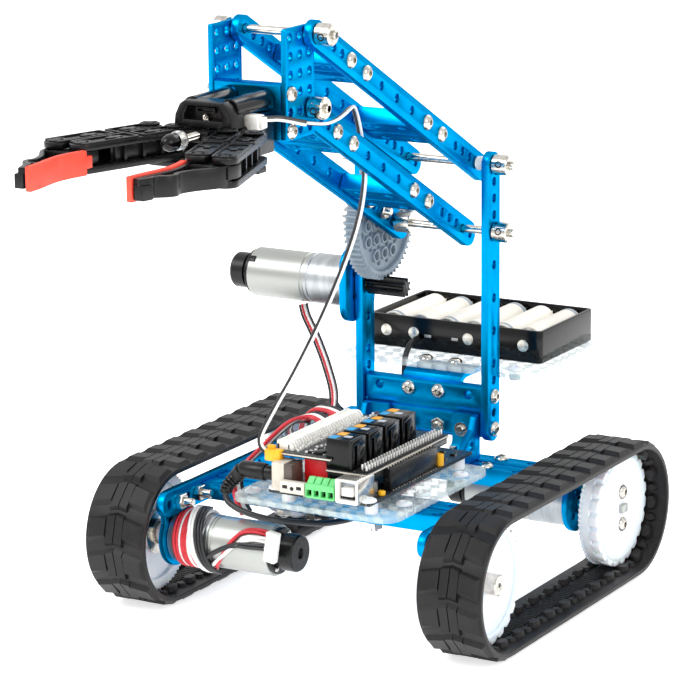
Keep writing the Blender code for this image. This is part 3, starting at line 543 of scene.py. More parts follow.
def make_angle_bracket(side, sign):
    """An angle with a thick root and one side web."""
    piece = Piece("angle_" + side)
    foot, back = 57.1, -4.3
    profile = [(back - 20, foot), (back, foot), (back, foot + 22), (back - 3, foot + 22),
               (back - 3, foot + 8), (back - 5, foot + 4.4), (back - 9, foot + 3), (back - 20, foot + 3)]
    piece.flat([profile], 13.9, facing(sign * 24, 0, 0, 0), "blue", 0.5)
    web = [(back - 19.4, foot + 0.6), (back - 0.8, foot + 0.6), (back - 0.8, foot + 21.4),
           (back - 5, foot + 21.4), (back - 7.5, foot + 15.5), (back - 13, foot + 12.5),
           (back - 19.4, foot + 7)]
    piece.flat([web, circle(back - 9, foot + 8, 2.1)], 3, facing(sign * 29.4, 0, 0, 0), "blue", 0.4)
    piece.turned([(3.2, 0), (3.5, 0.3), (3.5, 1), (2.1, 1), (2.1, 2.2), (1.7, 2.6)],
                 (sign * 24 - sign * 1.5, -7.4, 71.3), -EY, "steel")
    piece.turned([(-3.1, 0), (-3.4, 0.25), (-3.4, 2.7), (2, 2.9), (2, 4.8), (1.6, 5.2)],
                 (sign * 22.5, -16, foot + 3), EZ, "steel")
    piece.done("chassis", "angle_bracket_" + side)


def make_chassis_screws():
    """Screws and nuts of the chassis."""
    piece = Piece("screws_chassis")
    for sign in (-1, 1):
        for y in (-96, -80, -16, 0):
            piece.screw((sign * 70, y, BEAM_Z), EX * sign, radius=3.5)
        for z in (71.3, 87.3):
            piece.screw((sign * 36, 0, z), EX * sign)
    for x in (-8, 8):
        piece.screw((x, -4, 87.3), -EY)
        piece.nut((x, 7.1, 87.3), EY, 1.2)
        piece.nut((x + 1, -4, 71.3), -EY, 1)
    for x in (-24, -8, 24):
        for y in (-96, -80):
            piece.nut((x, y, BEAM_Z - 4), -EZ, 1)
    for y in (-16, 0):
        for x in (-40, 40):
            piece.screw((x, y, BEAM_Z + 4), EZ, radius=3.5)
    piece.done("chassis")


# ---- crawler

def loop_frame(s):
    """Place and outward angle at distance s round a belt's middle line."""
    straight = REAR_Y - FRONT_Y
    half = math.pi * BELT_R
    s = s % (2 * straight + 2 * half)
    if s <= straight:
        return (FRONT_Y + s, AXLE_Z - BELT_R, -math.pi / 2)
    if s < straight + half:
        a = (s - straight) / BELT_R - math.pi / 2
        return (REAR_Y + BELT_R * math.cos(a), AXLE_Z + BELT_R * math.sin(a), a)
    if s <= 2 * straight + half:
        return (REAR_Y - (s - straight - half), AXLE_Z + BELT_R, math.pi / 2)
    a = (s - 2 * straight - half) / BELT_R + math.pi / 2
    return (FRONT_Y + BELT_R * math.cos(a), AXLE_Z + BELT_R * math.sin(a), a)


def on_track(s, across, out, sign):
    """A point on the belt: s along it, across its width, out from its middle line."""
    y, z, a = loop_frame(s)
    return Vector((sign * across, y + out * math.cos(a), z + out * math.sin(a)))


def track_lump(piece, sign, bottom, top, low, high):
    """A block on the belt whose foot and top are outlines of (s, across)."""
    work = bmesh.new()
    feet = [work.verts.new(on_track(s, x, low, sign)) for s, x in bottom]
    heads = [work.verts.new(on_track(s, x, high, sign)) for s, x in top]
    count = len(feet)
    for i in range(count):
        k = (i + 1) % count
        work.faces.new((feet[i], feet[k], heads[k], heads[i]))
    work.faces.new(heads)
    work.faces.new(feet[::-1])
    bmesh.ops.recalc_face_normals(work, faces=work.faces)
    piece.take(work, "rubber")


def make_track(side, sign):
    """A rubber belt with chevron treads outside and drive lugs inside."""
    piece = Piece("belt_" + side)
    total = 2 * (REAR_Y - FRONT_Y) + 2 * math.pi * BELT_R
    work = bmesh.new()
    x0, x1 = 70.9, 102.9
    section = [(x0, -0.7), (x0 + 0.4, -1.1), (x1 - 0.4, -1.1), (x1, -0.7), (x1, 0.9), (x1 - 0.4, 1.3),
               (x0 + 0.4, 1.3), (x0, 0.9)]
    steps = 160
    rings = []
    for i in range(steps):
        rings.append([work.verts.new(on_track(total * i / steps, x, out, sign)) for x, out in section])
    for i in range(steps):
        ring, after = rings[i], rings[(i + 1) % steps]
        for j in range(len(section)):
            k = (j + 1) % len(section)
            work.faces.new((ring[j], ring[k], after[k], after[j]))
    bmesh.ops.recalc_face_normals(work, faces=work.faces)
    piece.take(work, "rubber")
    count = 29
    pitch = total / count
    for i in range(count):
        s = i * pitch
        for way in (-1, 1):
            make_tread(piece, sign, s, pitch, way)
        make_lugs(piece, sign, s, pitch)
    piece.done("chassis", "track_" + side, angle=25)


def make_tread(piece, sign, s, pitch, way):
    """One half of a row: a flush block at the middle and a shoulder block with sloping ends."""
    middle = 86.9
    lean = 0.22 * pitch

    def band(u0, u1, s0, s1):
        near, far = middle + way * 16 * u0, middle + way * 16 * u1
        return [(s + pitch * s0 + lean * u0, near), (s + pitch * s1 + lean * u0, near),
                (s + pitch * s1 + lean * u1, far), (s + pitch * s0 + lean * u1, far)]

    track_lump(piece, sign, band(0, 0.3, 0, 0.95), band(0.015, 0.28, 0.12, 0.84), 1, 2.95)
    track_lump(piece, sign, band(0.29, 0.95, 0.04, 0.78), band(0.31, 0.84, 0.15, 0.62), 1, 3)


def make_lugs(piece, sign, s, pitch):
    """Round drive lugs on both sides of a fine-toothed strip inside the belt."""
    turns = [2 * math.pi * k / 12 for k in range(12)]
    for across in (79, 95.2):
        for share, long, deep in ((0.25, 4.4, -3.6), (0.75, 2.6, -2.6)):
            middle = s + pitch * share
            foot = [(middle + long * math.cos(a), across + 2.9 * math.sin(a)) for a in turns]
            head = [(middle + (long - 0.9) * math.cos(a), across + 2.2 * math.sin(a)) for a in turns]
            track_lump(piece, sign, foot, head, -0.8, deep)
    for k in range(6):
        a = s + pitch * (0.04 + k / 6)
        foot = [(a, 83.2), (a + 1.5, 83.2), (a + 1.5, 91.2), (a, 91.2)]
        head = [(a + 0.4, 83.2), (a + 1.1, 83.2), (a + 1.1, 91.2), (a + 0.4, 91.2)]
        track_lump(piece, sign, foot, head, -0.8, -1.75)


def wheel_outline(teeth, low, high, scallop=False):
    """Rim of a wheel: fine teeth, or round scallops."""
    points = []
    if not scallop:
        for i in range(teeth):
            for share, radius in ((-0.28, low), (-0.16, high), (0.16, high), (0.28, low)):
                points.append(polar(radius, 2 * math.pi * (i + share) / teeth))
        return points
    for i in range(teeth * 10):
        a = 2 * math.pi * i / (teeth * 10)
        dip = max(0, math.cos(teeth * a)) ** 2
        points.append(polar(high - (high - low) * dip, a))
    return points


def make_wheel(name, sign, y, driven, node):
    """A nylon wheel: smooth outer disc, scalloped ring, fine inner teeth, and its hub."""
    piece = Piece(name)
    centre = facing(0, y, AXLE_Z, 0)

    def disc(xa, xb, outlines, edge=0.25):
        frame = centre.copy()
        frame.translation.x = sign * (xa + xb) / 2
        piece.flat(outlines, abs(xb - xa), frame, "nylon", edge)

    def turned(profile, x, key="nylon", sides=48):
        piece.turned(profile, (sign * x, y, AXLE_Z), EX * sign, key, sides)

    web = circle(0, 0, 23, 48)
    disc(82.6, 84, [wheel_outline(72, 27.6, 28.4), web], 0.2)
    disc(83.8, 88.2, [circle(0, 0, 28, 72), web], 0.4)
    disc(88, 92.4, [wheel_outline(23, 26.4, 28.4, True), web], 0.8)
    lip = [(25.4, 0), (25.7, 1.9), (25.5, 2.3), (24.9, 2.6), (24, 2.6)]
    if driven:
        turned([(3, -5.6), (23.4, -5.6), (23.8, 0)] + lip + [(22.8, 2.3), (12, 2.1), (2.2, 2)], 90.3)
        near = DRIVE_FACE[sign] + 4.4
        reach = 82.6 - near
        turned([(5.9, 0), (6, 0.4), (6, reach), (10.5, reach + 0.2), (10.5, reach + 2.8),
                (6, reach + 3)], near, "steel")
        for v in (-8, 8):
            piece.screw((sign * 92.15, y, AXLE_Z + v), EX * sign, radius=3.6)
        turned([(1.98, 0), (1.98, 93.8 - near), (1.6, 94.2 - near)], near - 0.2, "steel", 24)
        piece.box((sign * 93.2 - 1, y - 2.9, AXLE_Z - 2.1), (sign * 93.2 + 1, y + 2.9, AXLE_Z + 2.1),
                  "can", 0.5)
    else:
        dish = [(23.6, 1.8), (21.4, -0.8), (19, -2.2), (10.4, -3.2), (9.6, -2.2), (8.6, -1.8),
                (2.3, -1.8)]
        turned([(3, -5.6), (23.2, -5.6), (23.6, 0)] + lip + dish, 90.3)
        turned([(2.3, 0), (7.6, 0), (8, 0.4), (8, 4.4), (2.3, 4.4)], 82.9)
    piece.done(node, node, angle=30)


def make_wheel_bracket(side, sign, y, driven):
    """The blue flange with its shelf and tab, and the screws through the side beam."""
    name = ("motor_bracket_" if driven else "idler_bracket_") + side
    piece = Piece("flange_" + side + ("_motor" if driven else "_idler"))
    near = DRIVE_FACE[sign] if driven else IDLER_FACE
    far = max(near + 3, 72.8)
    frame = facing(sign * (near + 1.5), y, AXLE_Z, 0)
    reach = 14.4 if driven else 12.9
    piece.flat([circle(0, 0, reach, 48), circle(0, 0, 3.5)] + bolt_holes(), 3, frame, "blue", 0.5)
    neck = [(-12, 8), (12, 8), (12.4, 12.9), (-12.4, 12.9)]
    piece.flat([neck], 3, frame, "blue", 0.5)
    wide = (far - near) / 2
    piece.flat([block_outline(-wide, wide, -12, 12, wide * 0.6)], 2.7,
               level(sign * (near + far) / 2, y, 45.1), "blue", 0.5)
    tab = block_outline(-12, 12, 46.2 - AXLE_Z, 57.6 - AXLE_Z, 3)
    piece.flat([tab], 2.4, facing(sign * 71.5, y, AXLE_Z, 0), "blue", 0.5)
    for v in (-8, 8):
        piece.nut((sign * 66, y + v, BEAM_Z), -EX * sign, 4.5 if driven else 2)
    if not driven:
        collar = [(2.2, 0), (4.5, 0), (4.9, 0.4), (4.9, 6.6), (4.4, 7), (2.3, 7), (2.2, 6.8), (1.9, 6.8),
                  (1.9, 6.9), (1.4, 6.95)]
        piece.turned(collar, (sign * 89, y, AXLE_Z), EX * sign, "steel")
        hexed = [(-1.1, 0), (-1.1, 0.12), (-0.6, 0.12)]
        piece.turned(hexed, (sign * 95.9, y, AXLE_Z), EX * sign, "black", 24)
        piece.turned([(5, 0), (5, 12), (1.9, 12.1), (1.9, 24)], (sign * 70.3, y, AXLE_Z), EX * sign,
                     "steel")
    piece.done("chassis", name)


def make_crawlers():
    """Both tracks, their wheels, brackets and motors."""
    for side, sign in SIDES:
        drive_y, idle_y = (FRONT_Y, REAR_Y) if side == "left" else (REAR_Y, FRONT_Y)
        make_track(side, sign)
        make_wheel("wheel_drive_" + side, sign, drive_y, True, "drive_wheel_" + side)
        make_wheel("wheel_idler_" + side, sign, idle_y, False, "idler_wheel_" + side)
        make_wheel_bracket(side, sign, drive_y, True)
        make_wheel_bracket(side, sign, idle_y, False)
        face = sign * (DRIVE_FACE[sign] - 0.3)
        make_motor("motor_" + side, sign, face, drive_y, AXLE_Z, "track_motor_" + side)


def make_motor(name, sign, face_x, y, z, node):
    """A gear motor: gearbox, rolled can, end cap with its screws and clips, and encoder cover."""
    piece = Piece(name)
    back = -EX * sign
    start = Vector((face_x, y, z))
    piece.turned([(12, 0), (12.3, 0.3), (12.3, 18.6), (12, 18.9), (12, 19.3), (12.3, 19.6), (12.3, 21)],
                 start, back, "gearbox", 48)
    can = [(12, 21), (12.1, 21.3), (12.1, 22.6), (11.8, 22.9), (11.8, 23.3), (12.1, 23.6), (12.1, 52.4),
           (11.7, 53), (11, 53.2)]
    piece.turned(can, start, back, "can", 48)
    cap = [(11, 53.1), (11, 54.6), (10.4, 55.2), (8, 55.4)]
    piece.turned(cap, start, back, "black", 40)
    disc = [(7.6, 55), (7.6, 57.4), (8.7, 57.5), (8.7, 63.8), (8.1, 64.7), (2.6, 64.7), (2.2, 63.6),
            (0.2, 63.4)]
    piece.turned(disc, start, back, "black", 40)
    for a in (0.9, 0.9 + math.pi):
        spot = start + back * 54.6 + Vector((0, 8.9 * math.cos(a), 8.9 * math.sin(a)))
        piece.turned([(1.6, 0), (1.6, 0.9), (1, 1.2)], spot, back, "steel", 16)
    for a in (2.4, 2.4 + math.pi):
        middle = start + back * 51.5 + Vector((0, 11.7 * math.cos(a), 11.7 * math.sin(a)))
        frame = facing(middle.x, middle.y, middle.z, math.degrees(a))
        piece.box((-2.2, -1.6, -0.9), (2.2, 1.6, 0.9), "black", 0.3,
                  frame @ Matrix.Rotation(math.radians(90), 4, "Y"))
    piece.done("chassis", node)


# ---- arm

UPPER_X = (24.6, -11.6)
LOWER_X = (17.5, -18.7)
WRIST_X = (21.05, -15.15)


def on_link(pivot_z, place_along, x):
    """A point on a link's middle line, by its distance from the front end hole."""
    y = WRIST_Y + place_along * math.cos(ARM_ANGLE)
    z = pivot_z + WRIST_RISE - place_along * math.sin(ARM_ANGLE)
    return Vector((x, y, z))


def make_links():
    """Both link pairs with their slabs and screws."""
    for name, pair, pivot_z in (("lower", LOWER_X, LOWER_Z), ("upper", UPPER_X, UPPER_Z)):
        body = name + "_arm"
        for side, x in zip(("right", "left"), pair):
            frame = facing(x, WRIST_Y, pivot_z + WRIST_RISE, -28.5)
            bar("beam_" + name + "_" + side, BAR_LONG, frame, body, name + "_beam_" + side, (0, LINK))
        screws = Piece("screws_" + name + "_arm")
        for end, spot in (("front", 40), ("rear", 120)):
            piece = Piece("slab_" + name + "_" + end)
            frame = Matrix.Rotation(-ARM_ANGLE, 4, "X") @ level(0, 0, 0)
            frame.translation = on_link(pivot_z, spot, sum(pair) / 2)
            slab(piece, 31.6, [-8, 8], frame)
            piece.done(body, name + "_slab_" + end)
            for step in (-8, 8):
                screws.screw(on_link(pivot_z, spot + step, pair[0] + 2), EX)
                screws.screw(on_link(pivot_z, spot + step, pair[1] - 2), -EX)
        if name == "lower":
            for step in (136, 152):
                screws.nut(on_link(pivot_z, step, pair[1] + 2), EX, 2)
        screws.done(body)


def gear_points(teeth, root, tip):
    """Rounded teeth."""
    points = []
    for i in range(teeth):
        for share, radius in ((-0.36, root), (-0.24, root + 0.35), (-0.13, tip - 0.25), (-0.08, tip),
                              (0.08, tip), (0.13, tip - 0.25), (0.24, root + 0.35), (0.36, root)):
            points.append(polar(radius, 2 * math.pi * (i + share) / teeth))
    return points


def make_gear_train():
    """The large gear, the pinion, and the motor that drives it."""
    make_arm_gear()
    make_pinion()
    piece = Piece("motor_plate")
    frame = facing(-38.3, 0, PINION_Z)
    outline = block_outline(-18, 18, -14.5, 14.5, 9, 8)
    piece.flat([outline, circle(0, 0, 5)] + bolt_holes(), 3.9, frame, "blue", 0.5)
    for v in (-16, 16):
        piece.screw((-36.35, 0, PINION_Z + v), EX, radius=3.5)
    piece.done("chassis", "arm_motor_bracket")
    make_motor("motor_arm", 1, -40.6, 0, PINION_Z, "arm_motor")


def make_arm_gear():
    """A toothed rim round a thinner web, with a boss round each of its holes."""
    piece = Piece("gear_arm")
    x0, x1 = -29.6, -22
    frame = facing((x0 + x1) / 2, 0, LOWER_Z)
    holes = []
    for i in range(-2, 3):
        for j in range(-2, 3):
            if (i or j) and math.hypot(i * 8, j * 8) < 22.5:
                holes.append((i * 8, j * 8))
    piece.flat([gear_points(56, 26.6, 28.7), circle(0, 0, 24.6, 64)], x1 - x0, frame, "grey")
    small = [circle(u, v, 2.1, 18) for u, v in holes]
    mids = [circle(8 * i + 4, 8 * j + 4, 1.5, 14) for i in range(-3, 3) for j in range(-3, 3)
            if math.hypot(8 * i + 4, 8 * j + 4) < 21.5]
    piece.flat([circle(0, 0, 24.9, 64), circle(0, 0, 2.3)] + small + mids, 3.6, frame, "grey")
    for u, v in holes:
        piece.flat([circle(u, v, 3.2, 20), circle(u, v, 2.1, 18)], 6.6, frame, "grey", 0.25)
    piece.flat([circle(0, 0, 5.6, 32), circle(0, 0, 2.3)], 7.5, frame, "grey", 0.4)
    piece.done("lower_arm", "arm_gear")


def make_pinion():
    """The long pinion, its collar and the motor's shaft."""
    piece = Piece("gear_pinion")
    frame = facing(-21.3, 0, PINION_Z, 90 + 22.5)
    piece.flat([gear_points(8, 2.95, 4.7)], 20.4, frame, "black", 0.25)
    piece.turned([(1.2, 0), (1.6, 0.4), (1.6, 9.4)], (-40.2, 0, PINION_Z), EX, "steel", 20)
    piece.turned([(3.4, 0), (3.7, 0.3), (3.7, 4.6), (3.4, 4.9)], (-36.2, 0, PINION_Z), EX, "black", 24)
    piece.done("arm_pinion", "arm_pinion")


def make_shafts():
    """Pivot shafts with collars and bushings."""
    for name, z in (("lower", LOWER_Z), ("upper", UPPER_Z)):
        piece = Piece("shaft_" + name)
        piece.turned([(1.5, 0), (1.88, 0.4), (1.88, 92), (1.5, 92.4)], (-46.2, 0, z), EX, "steel", 24)
        toward = Vector((0, -0.9, 0.2)).normalized()
        piece.collar((36.3, 0, z), EX, 7.9, toward, 2.3)
        piece.collar((-36.3, 0, z), -EX, 7.9, toward, 2.3)
        if name == "upper":
            piece.turned([(3, 0), (3.3, 0.3), (3.3, 4.2), (3, 4.5)], (27.1, 0, z), EX, "white", 28)
        else:
            piece.turned([(2, 0), (4.5, 0), (4.9, 0.4), (4.9, 7.6), (4.4, 8), (2, 8)],
                         (-16, 0, z), EX, "steel", 32)
        piece.done("chassis", name + "_pivot_shaft")


def make_wrist():
    """Wrist plates, slab and the two shafts with collars."""
    top = UPPER_Z + WRIST_RISE
    for side, x in zip(("right", "left"), WRIST_X):
        piece = Piece("plate_wrist_" + side)
        holes = [circle(-8 * i, -8 * j, 2) for i in range(3) for j in range(6)]
        outline = block_outline(-20, 4, -44, 4, 0.8)
        piece.flat([outline] + holes, 2.5, facing(x, WRIST_Y, top, 0), "blue")
        piece.done("wrist", "wrist_plate_" + side)
    piece = Piece("slab_wrist")
    frame = front(GRIP_X, WRIST_Y - 16, top - 32)
    slab(piece, 33.1, [-8, 8], frame)
    for z in (top - 24, top - 40):
        piece.screw((WRIST_X[0] + 1.25, WRIST_Y - 16, z), EX, radius=3.6)
        piece.screw((WRIST_X[1] - 1.25, WRIST_Y - 16, z), -EX, radius=3.6)
    piece.done("wrist", "wrist_slab")
    for name, z, left, right in (("lower", top - 32, -27.5, 22.9), ("upper", top, -24, 26.9)):
        piece = Piece("shaft_wrist_" + name)
        reach = 32 if name == "lower" else 36
        piece.turned([(1.5, 0), (1.88, 0.4), (1.88, reach - left + 0.7), (1.5, reach - left + 1.2)],
                     (left - 1.4, WRIST_Y, z), EX, "steel", 24)
        toward = Vector((0, -1, -0.15)).normalized()
        piece.collar((right, WRIST_Y, z), EX, 7.4, toward, reach - right - 7.6)
        piece.collar((left + 6.4, WRIST_Y, z), -EX, 6.3, toward, 1)
        piece.done("wrist", "wrist_shaft_" + name)


# ---- gripper

def make_gripper():
    """Housing, lead screw, nut and both jaws."""
    piece = Piece("grip_housing")
    make_housing(piece)
    make_hood(piece)
    piece.box((15.4, -191.6, 243.8), (22.4, -185.6, 250.2), "white", 0.6)
    piece.box((22, -190.8, 244.6), (24.2, -186.4, 249.4), "white", 0.5)
    for z in (245.4, 247.8):
        piece.box((15.3, -191.7, z), (18.2, -190.9, z + 1.2), "cream", 0.2)
    strands(piece, GRIPPER_TAIL, ("wire_white", "wire_black"), WIRE_R, EZ)
    piece.done("wrist", "gripper_housing")
    make_lead_screw()
    for side, sign in SIDES:
        make_jaw(side, sign)


def make_housing(piece):
    """The gripper's body with its two guide tubes and the base plate of the levers."""
    x, slab_y = GRIP_X, WRIST_Y - 20.3
    piece.box((x - 14.5, -196, 231), (x + 14.5, slab_y - 1.2, 245.4), "black", 1.2)
    for sign in (-1, 1):
        piece.turned([(4.5, 0), (4.9, 0.4), (4.9, 29), (4.5, 29.4)],
                     (x + sign * 9, -197.5, 252.6), EY, "gloss_black", 36)
        piece.box((x + sign * 15 - 2, -190, 240), (x + sign * 15 + 2, -181, 246.5), "black", 0.6)
        base = [(3, -210), (21, -210.6), (29.6, -208), (29.6, -202), (17, -192.4), (3, -191.4)]
        base = [(x + sign * u, v) for u, v in base]
        if sign < 0:
            base.reverse()
        piece.flat([base], 2.7, level(0, 0, 230.4), "black", 0.5)
        for px in LEVER_X:
            piece.turned([(1.9, 0), (4.2, 0), (4.4, 0.2), (4.4, 0.6), (3.6, 0.9), (3.3, 0.5), (2, 0.5),
                          (1.9, 1), (0.3, 1.1)], (x + sign * px, LEVER_Y, 245.5), EZ, "black", 32)
    bridge = block_outline(x - 10.5, x + 10.5, -204, -191.4, 1.5)
    piece.flat([bridge], 3.1, level(0, 0, 247.3), "black", 0.5)


def make_hood(piece):
    """The hood over the lead screw, with its mouth and the screw in it."""
    x = GRIP_X
    hood = [(-14.4, -3), (14.4, -3), (13.8, 2), (11.6, 6.4), (9.4, 8), (-9.4, 8), (-11.6, 6.4),
            (-13.8, 2)]
    mouth = [(-9.4, -0.6), (9.4, -0.6), (9, 2.4), (7.2, 5.9), (-7.2, 5.9), (-9, 2.4)]
    piece.flat([hood, mouth], 11, front(x, -198.4, 248.7), "black", 0.9)
    piece.flat([[(u * 1.02, v) for u, v in mouth]], 7, front(x, -196.4, 248.7), "black", 0.2)
    ring = block_outline(-4.8, 4.8, 3, 5.4, 0.5)
    piece.flat([ring, block_outline(-3.8, 3.8, 3.6, 4.7)], 2.6, front(x, -200.4, 248.7), "black")
    piece.screw((x + 0.4, -200, 249.8), -EY, "steel", 1.5)


def make_lead_screw():
    """Threaded rod with a clear knob and a black dome, and its nut."""
    z = 243.4
    piece = Piece("screw_rod")
    profile = [(1.2, 0)]
    for i in range(36):
        profile += [(1.5, 0.7 * i + 0.2), (1.2, 0.7 * i + 0.55)]
    piece.turned(profile, (GRIP_X, -193.6, z), -EY, "steel", 16)
    knob = [(1.8, 0.6), (3, 0.9), (3.9, 2), (4.2, 3.6), (4.1, 5.4), (3.6, 7)]
    piece.turned(knob, (GRIP_X, -219, z), -EY, "knob", 28)
    piece.turned([(1.6, 0), (1.6, 6.5)], (GRIP_X, -219.3, z), -EY, "steel", 16)
    dome = [(3.6, 0), (3.7, 0.3), (3.7, 3), (3.4, 4.7), (2.7, 6.2), (1.7, 7.2), (0.3, 7.6)]
    piece.turned(dome, (GRIP_X, -226.3, z), -EY, "gloss_black", 32)
    piece.done("lead_screw", "lead_screw")
    piece = Piece("screw_block")
    for u0, u1, v0, v1, edge in ((-5.4, 5.4, -3.3, -1.9, 0.4), (-5.4, 5.4, 0.9, 1.6, 0.3),
                                 (-5.4, -1.9, -2.2, 1.4, 0.4), (1.9, 5.4, -2.2, 1.4, 0.4)):
        piece.box((GRIP_X + u0, -208.9, z + v0), (GRIP_X + u1, -203.1, z + v1), "black", edge)
    piece.done("screw_nut", "screw_nut")


def lever_end(px, sign):
    """Where a lever's front hole is."""
    return GRIP_X + sign * (px + LEVER * math.sin(OPEN)), LEVER_Y - LEVER * math.cos(OPEN)


def make_jaw(side, sign):
    """Two ribbed levers and the finger with its pad."""
    for kind, px in zip(("inner", "outer"), LEVER_X):
        piece = Piece("lever_" + kind + "_" + side + "_arm")
        make_lever(piece, px, sign)
        piece.done("lever_" + kind + "_" + side, "lever_" + kind + "_" + side)
    make_finger(side, sign)


def make_lever(piece, px, sign):
    """A lever: two plates with a web and ribs between them, and raised frames on its top."""
    top, low = LEVER_TOP, 232.2
    angle = math.degrees(-math.pi / 2 + sign * OPEN)
    frame = level(GRIP_X + sign * px, LEVER_Y, 0, angle)
    for z0, z1 in ((top - 3.3, top - 0.7), (low + 0.3, low + 3.2)):
        frame.translation.z = (z0 + z1) / 2
        piece.flat([bar_outline(LEVER, 5.5)], z1 - z0, frame, "black", 0.35)
    frame.translation.z = top - 0.5
    for u0, u1 in ((-3, 21), (23, LEVER + 3)):
        raised = [block_outline(u0, u1, -5.3, 5.3, 1.6), block_outline(u0 + 1.2, u1 - 1.2, -4.1, 4.1, 1)]
        piece.flat(raised, 1, frame, "black", 0.2)
    for u0, u1 in ((8, 16), (29, 37)):
        piece.flat([block_outline(u0, u1, -1.5, 1.5, 0.9)], 0.9, frame, "black", 0.2)
        piece.flat([block_outline(u0 + 2.6, u0 + 4.4, -3.9, 3.9, 0.4)], 0.7, frame, "black", 0.2)
    piece.flat([circle(LEVER, 0, 3.9, 28), circle(LEVER, 0, 2.7, 24)], 1, frame, "black", 0.25)
    piece.flat([circle(LEVER, 0, 1.8, 20)], 1, frame, "black")
    frame.translation.z = (top + low) / 2
    piece.flat([block_outline(0, 34, -2.2, 2.2, 1.5)], 8.6, frame, "black")
    piece.flat([circle(0, 0, 3.2, 24)], 12, frame, "black")
    for u in (10, 20, 30):
        piece.flat([block_outline(u - 0.7, u + 0.7, -4, 4)], 8.6, frame, "black")


def ribbon_outline(line, width):
    """Outline of a band of even width along a smoothed line."""
    route = [Vector((p.x, p.y)) for p in smooth_route([(u, v, 0) for u, v in line], 5)]
    left, right = [], []
    for i, p in enumerate(route):
        way = (route[min(i + 1, len(route) - 1)] - route[max(i - 1, 0)]).normalized()
        offset = Vector((-way.y, way.x)) * width / 2
        left.append(p + offset)
        right.append(p - offset)
    return [(p.x, p.y) for p in right + left[::-1]]


def make_finger(side, sign):
    """A finger with a deep slot in its top, a waisted outer wall and a curved orange pad."""
    piece = Piece("finger_" + side + "_shell")
    low, high = 233.3, 242
    z = (low + high) / 2

    def shape(points, bottom, top, key="black", edge=0.4):
        points = [(GRIP_X + sign * u, v) for u, v in points]
        if sign < 0:
            points.reverse()
        piece.flat([points], top - bottom, level(0, 0, (bottom + top) / 2), key, edge)

    shape([(23.5, -247.5), (45, -247.5), (46, -252), (44.8, -257), (27, -257), (23.6, -254)],
          236.2, 241.6)
    inner = [(26.2, -296.4), (26.9, -288), (28.2, -280), (28.9, -272), (28, -264), (26.2, -257)]
    shape(ribbon_outline(inner, 2.2), low, high)
    outer = [(27.6, -297), (29.6, -292), (30, -288.4), (33.8, -285), (35.4, -281.6), (34.2, -277.4),
             (36.4, -270), (42, -260.6), (43.2, -254)]
    shape(ribbon_outline(outer, 2.4), low, high)
    shape([(27.2, -295.4), (29.6, -291), (33.4, -282), (34.6, -275), (42.6, -259), (27.6, -257.6),
           (29.6, -272), (28, -284)], low + 1, high - 4.4)
    shape([(26.4, -297.4), (30.6, -297.4), (31.8, -292.4), (27, -291.6)], low, high - 2.6)
    tip = (GRIP_X + sign * 28.8, -297.2, 236.6)
    piece.turned([(1, 0), (1, 0.3), (0.5, 0.3)], tip, -EY, "gloss_black", 16)
    for v, u0, u1 in ((-284, 28.6, 34.6), (-259, 28, 41.4)):
        shape(rectangle(u0, u1, v - 0.8, v + 0.8), low + 0.4, high - 0.3, edge=0.3)
    pad = [(23.9, -297.4), (24.7, -288), (26, -280), (26.6, -272), (25.6, -264), (23.9, -257)]
    shape(ribbon_outline(pad, 2.6), z - 5.3, z + 5.2, "orange", 0.5)
    shape([(22.8, -258), (22.6, -253.4), (25.4, -253.4), (25.2, -258)], z - 2.6, z + 2.6, "orange")
    for px in LEVER_X:
        piece.flat([circle(*lever_end(px, sign), 4.4, 28)], 5.4, level(0, 0, 238.9), "black", 0.4)
    piece.done("finger_" + side, "finger_" + side)


# ---- boards

PLATE = (-38, 48, -123.4, -24.8)
PLATE_Z = 57.1
MAIN = (-13.4, 38.7, -127, -28)
MAIN_Z = 65.6
DRIVER = (13.6, 34.6, -122, -44)
DRIVER_Z = 77.3
COMB = (-14.6, 15.6, -122, -46)
COMB_Z = 82.2


def scalloped(x0, x1, y0, y1):
    """Edge of a clear plate: rounded corners, with a small notch between every two holes."""
    corner, pitch, notch = 9, 8, 1
    points = []
    wide, deep_side = x1 - x0, y1 - y0
    for x, y, ux, uy, length in ((x0, y0, 1, 0, wide), (x1, y0, 0, 1, deep_side),
                                 (x1, y1, -1, 0, wide), (x0, y1, 0, -1, deep_side)):
        nx, ny = -uy, ux
        for k in range(5):
            a = math.radians(22.5 * k)
            s, deep = corner * (1 - math.cos(a)), corner * (1 - math.sin(a))
            points.append((x + s * ux + deep * nx, y + s * uy + deep * ny))
        count = int((length - 2 * corner) / pitch)
        start = (length - (count - 1) * pitch) / 2
        for k in range(count):
            foot = notch * 0.7
            for step, deep in ((-notch, 0), (-foot, foot), (foot, foot), (notch, 0)):
                s = start + k * pitch + step
                points.append((x + s * ux + deep * nx, y + s * uy + deep * ny))
    return points


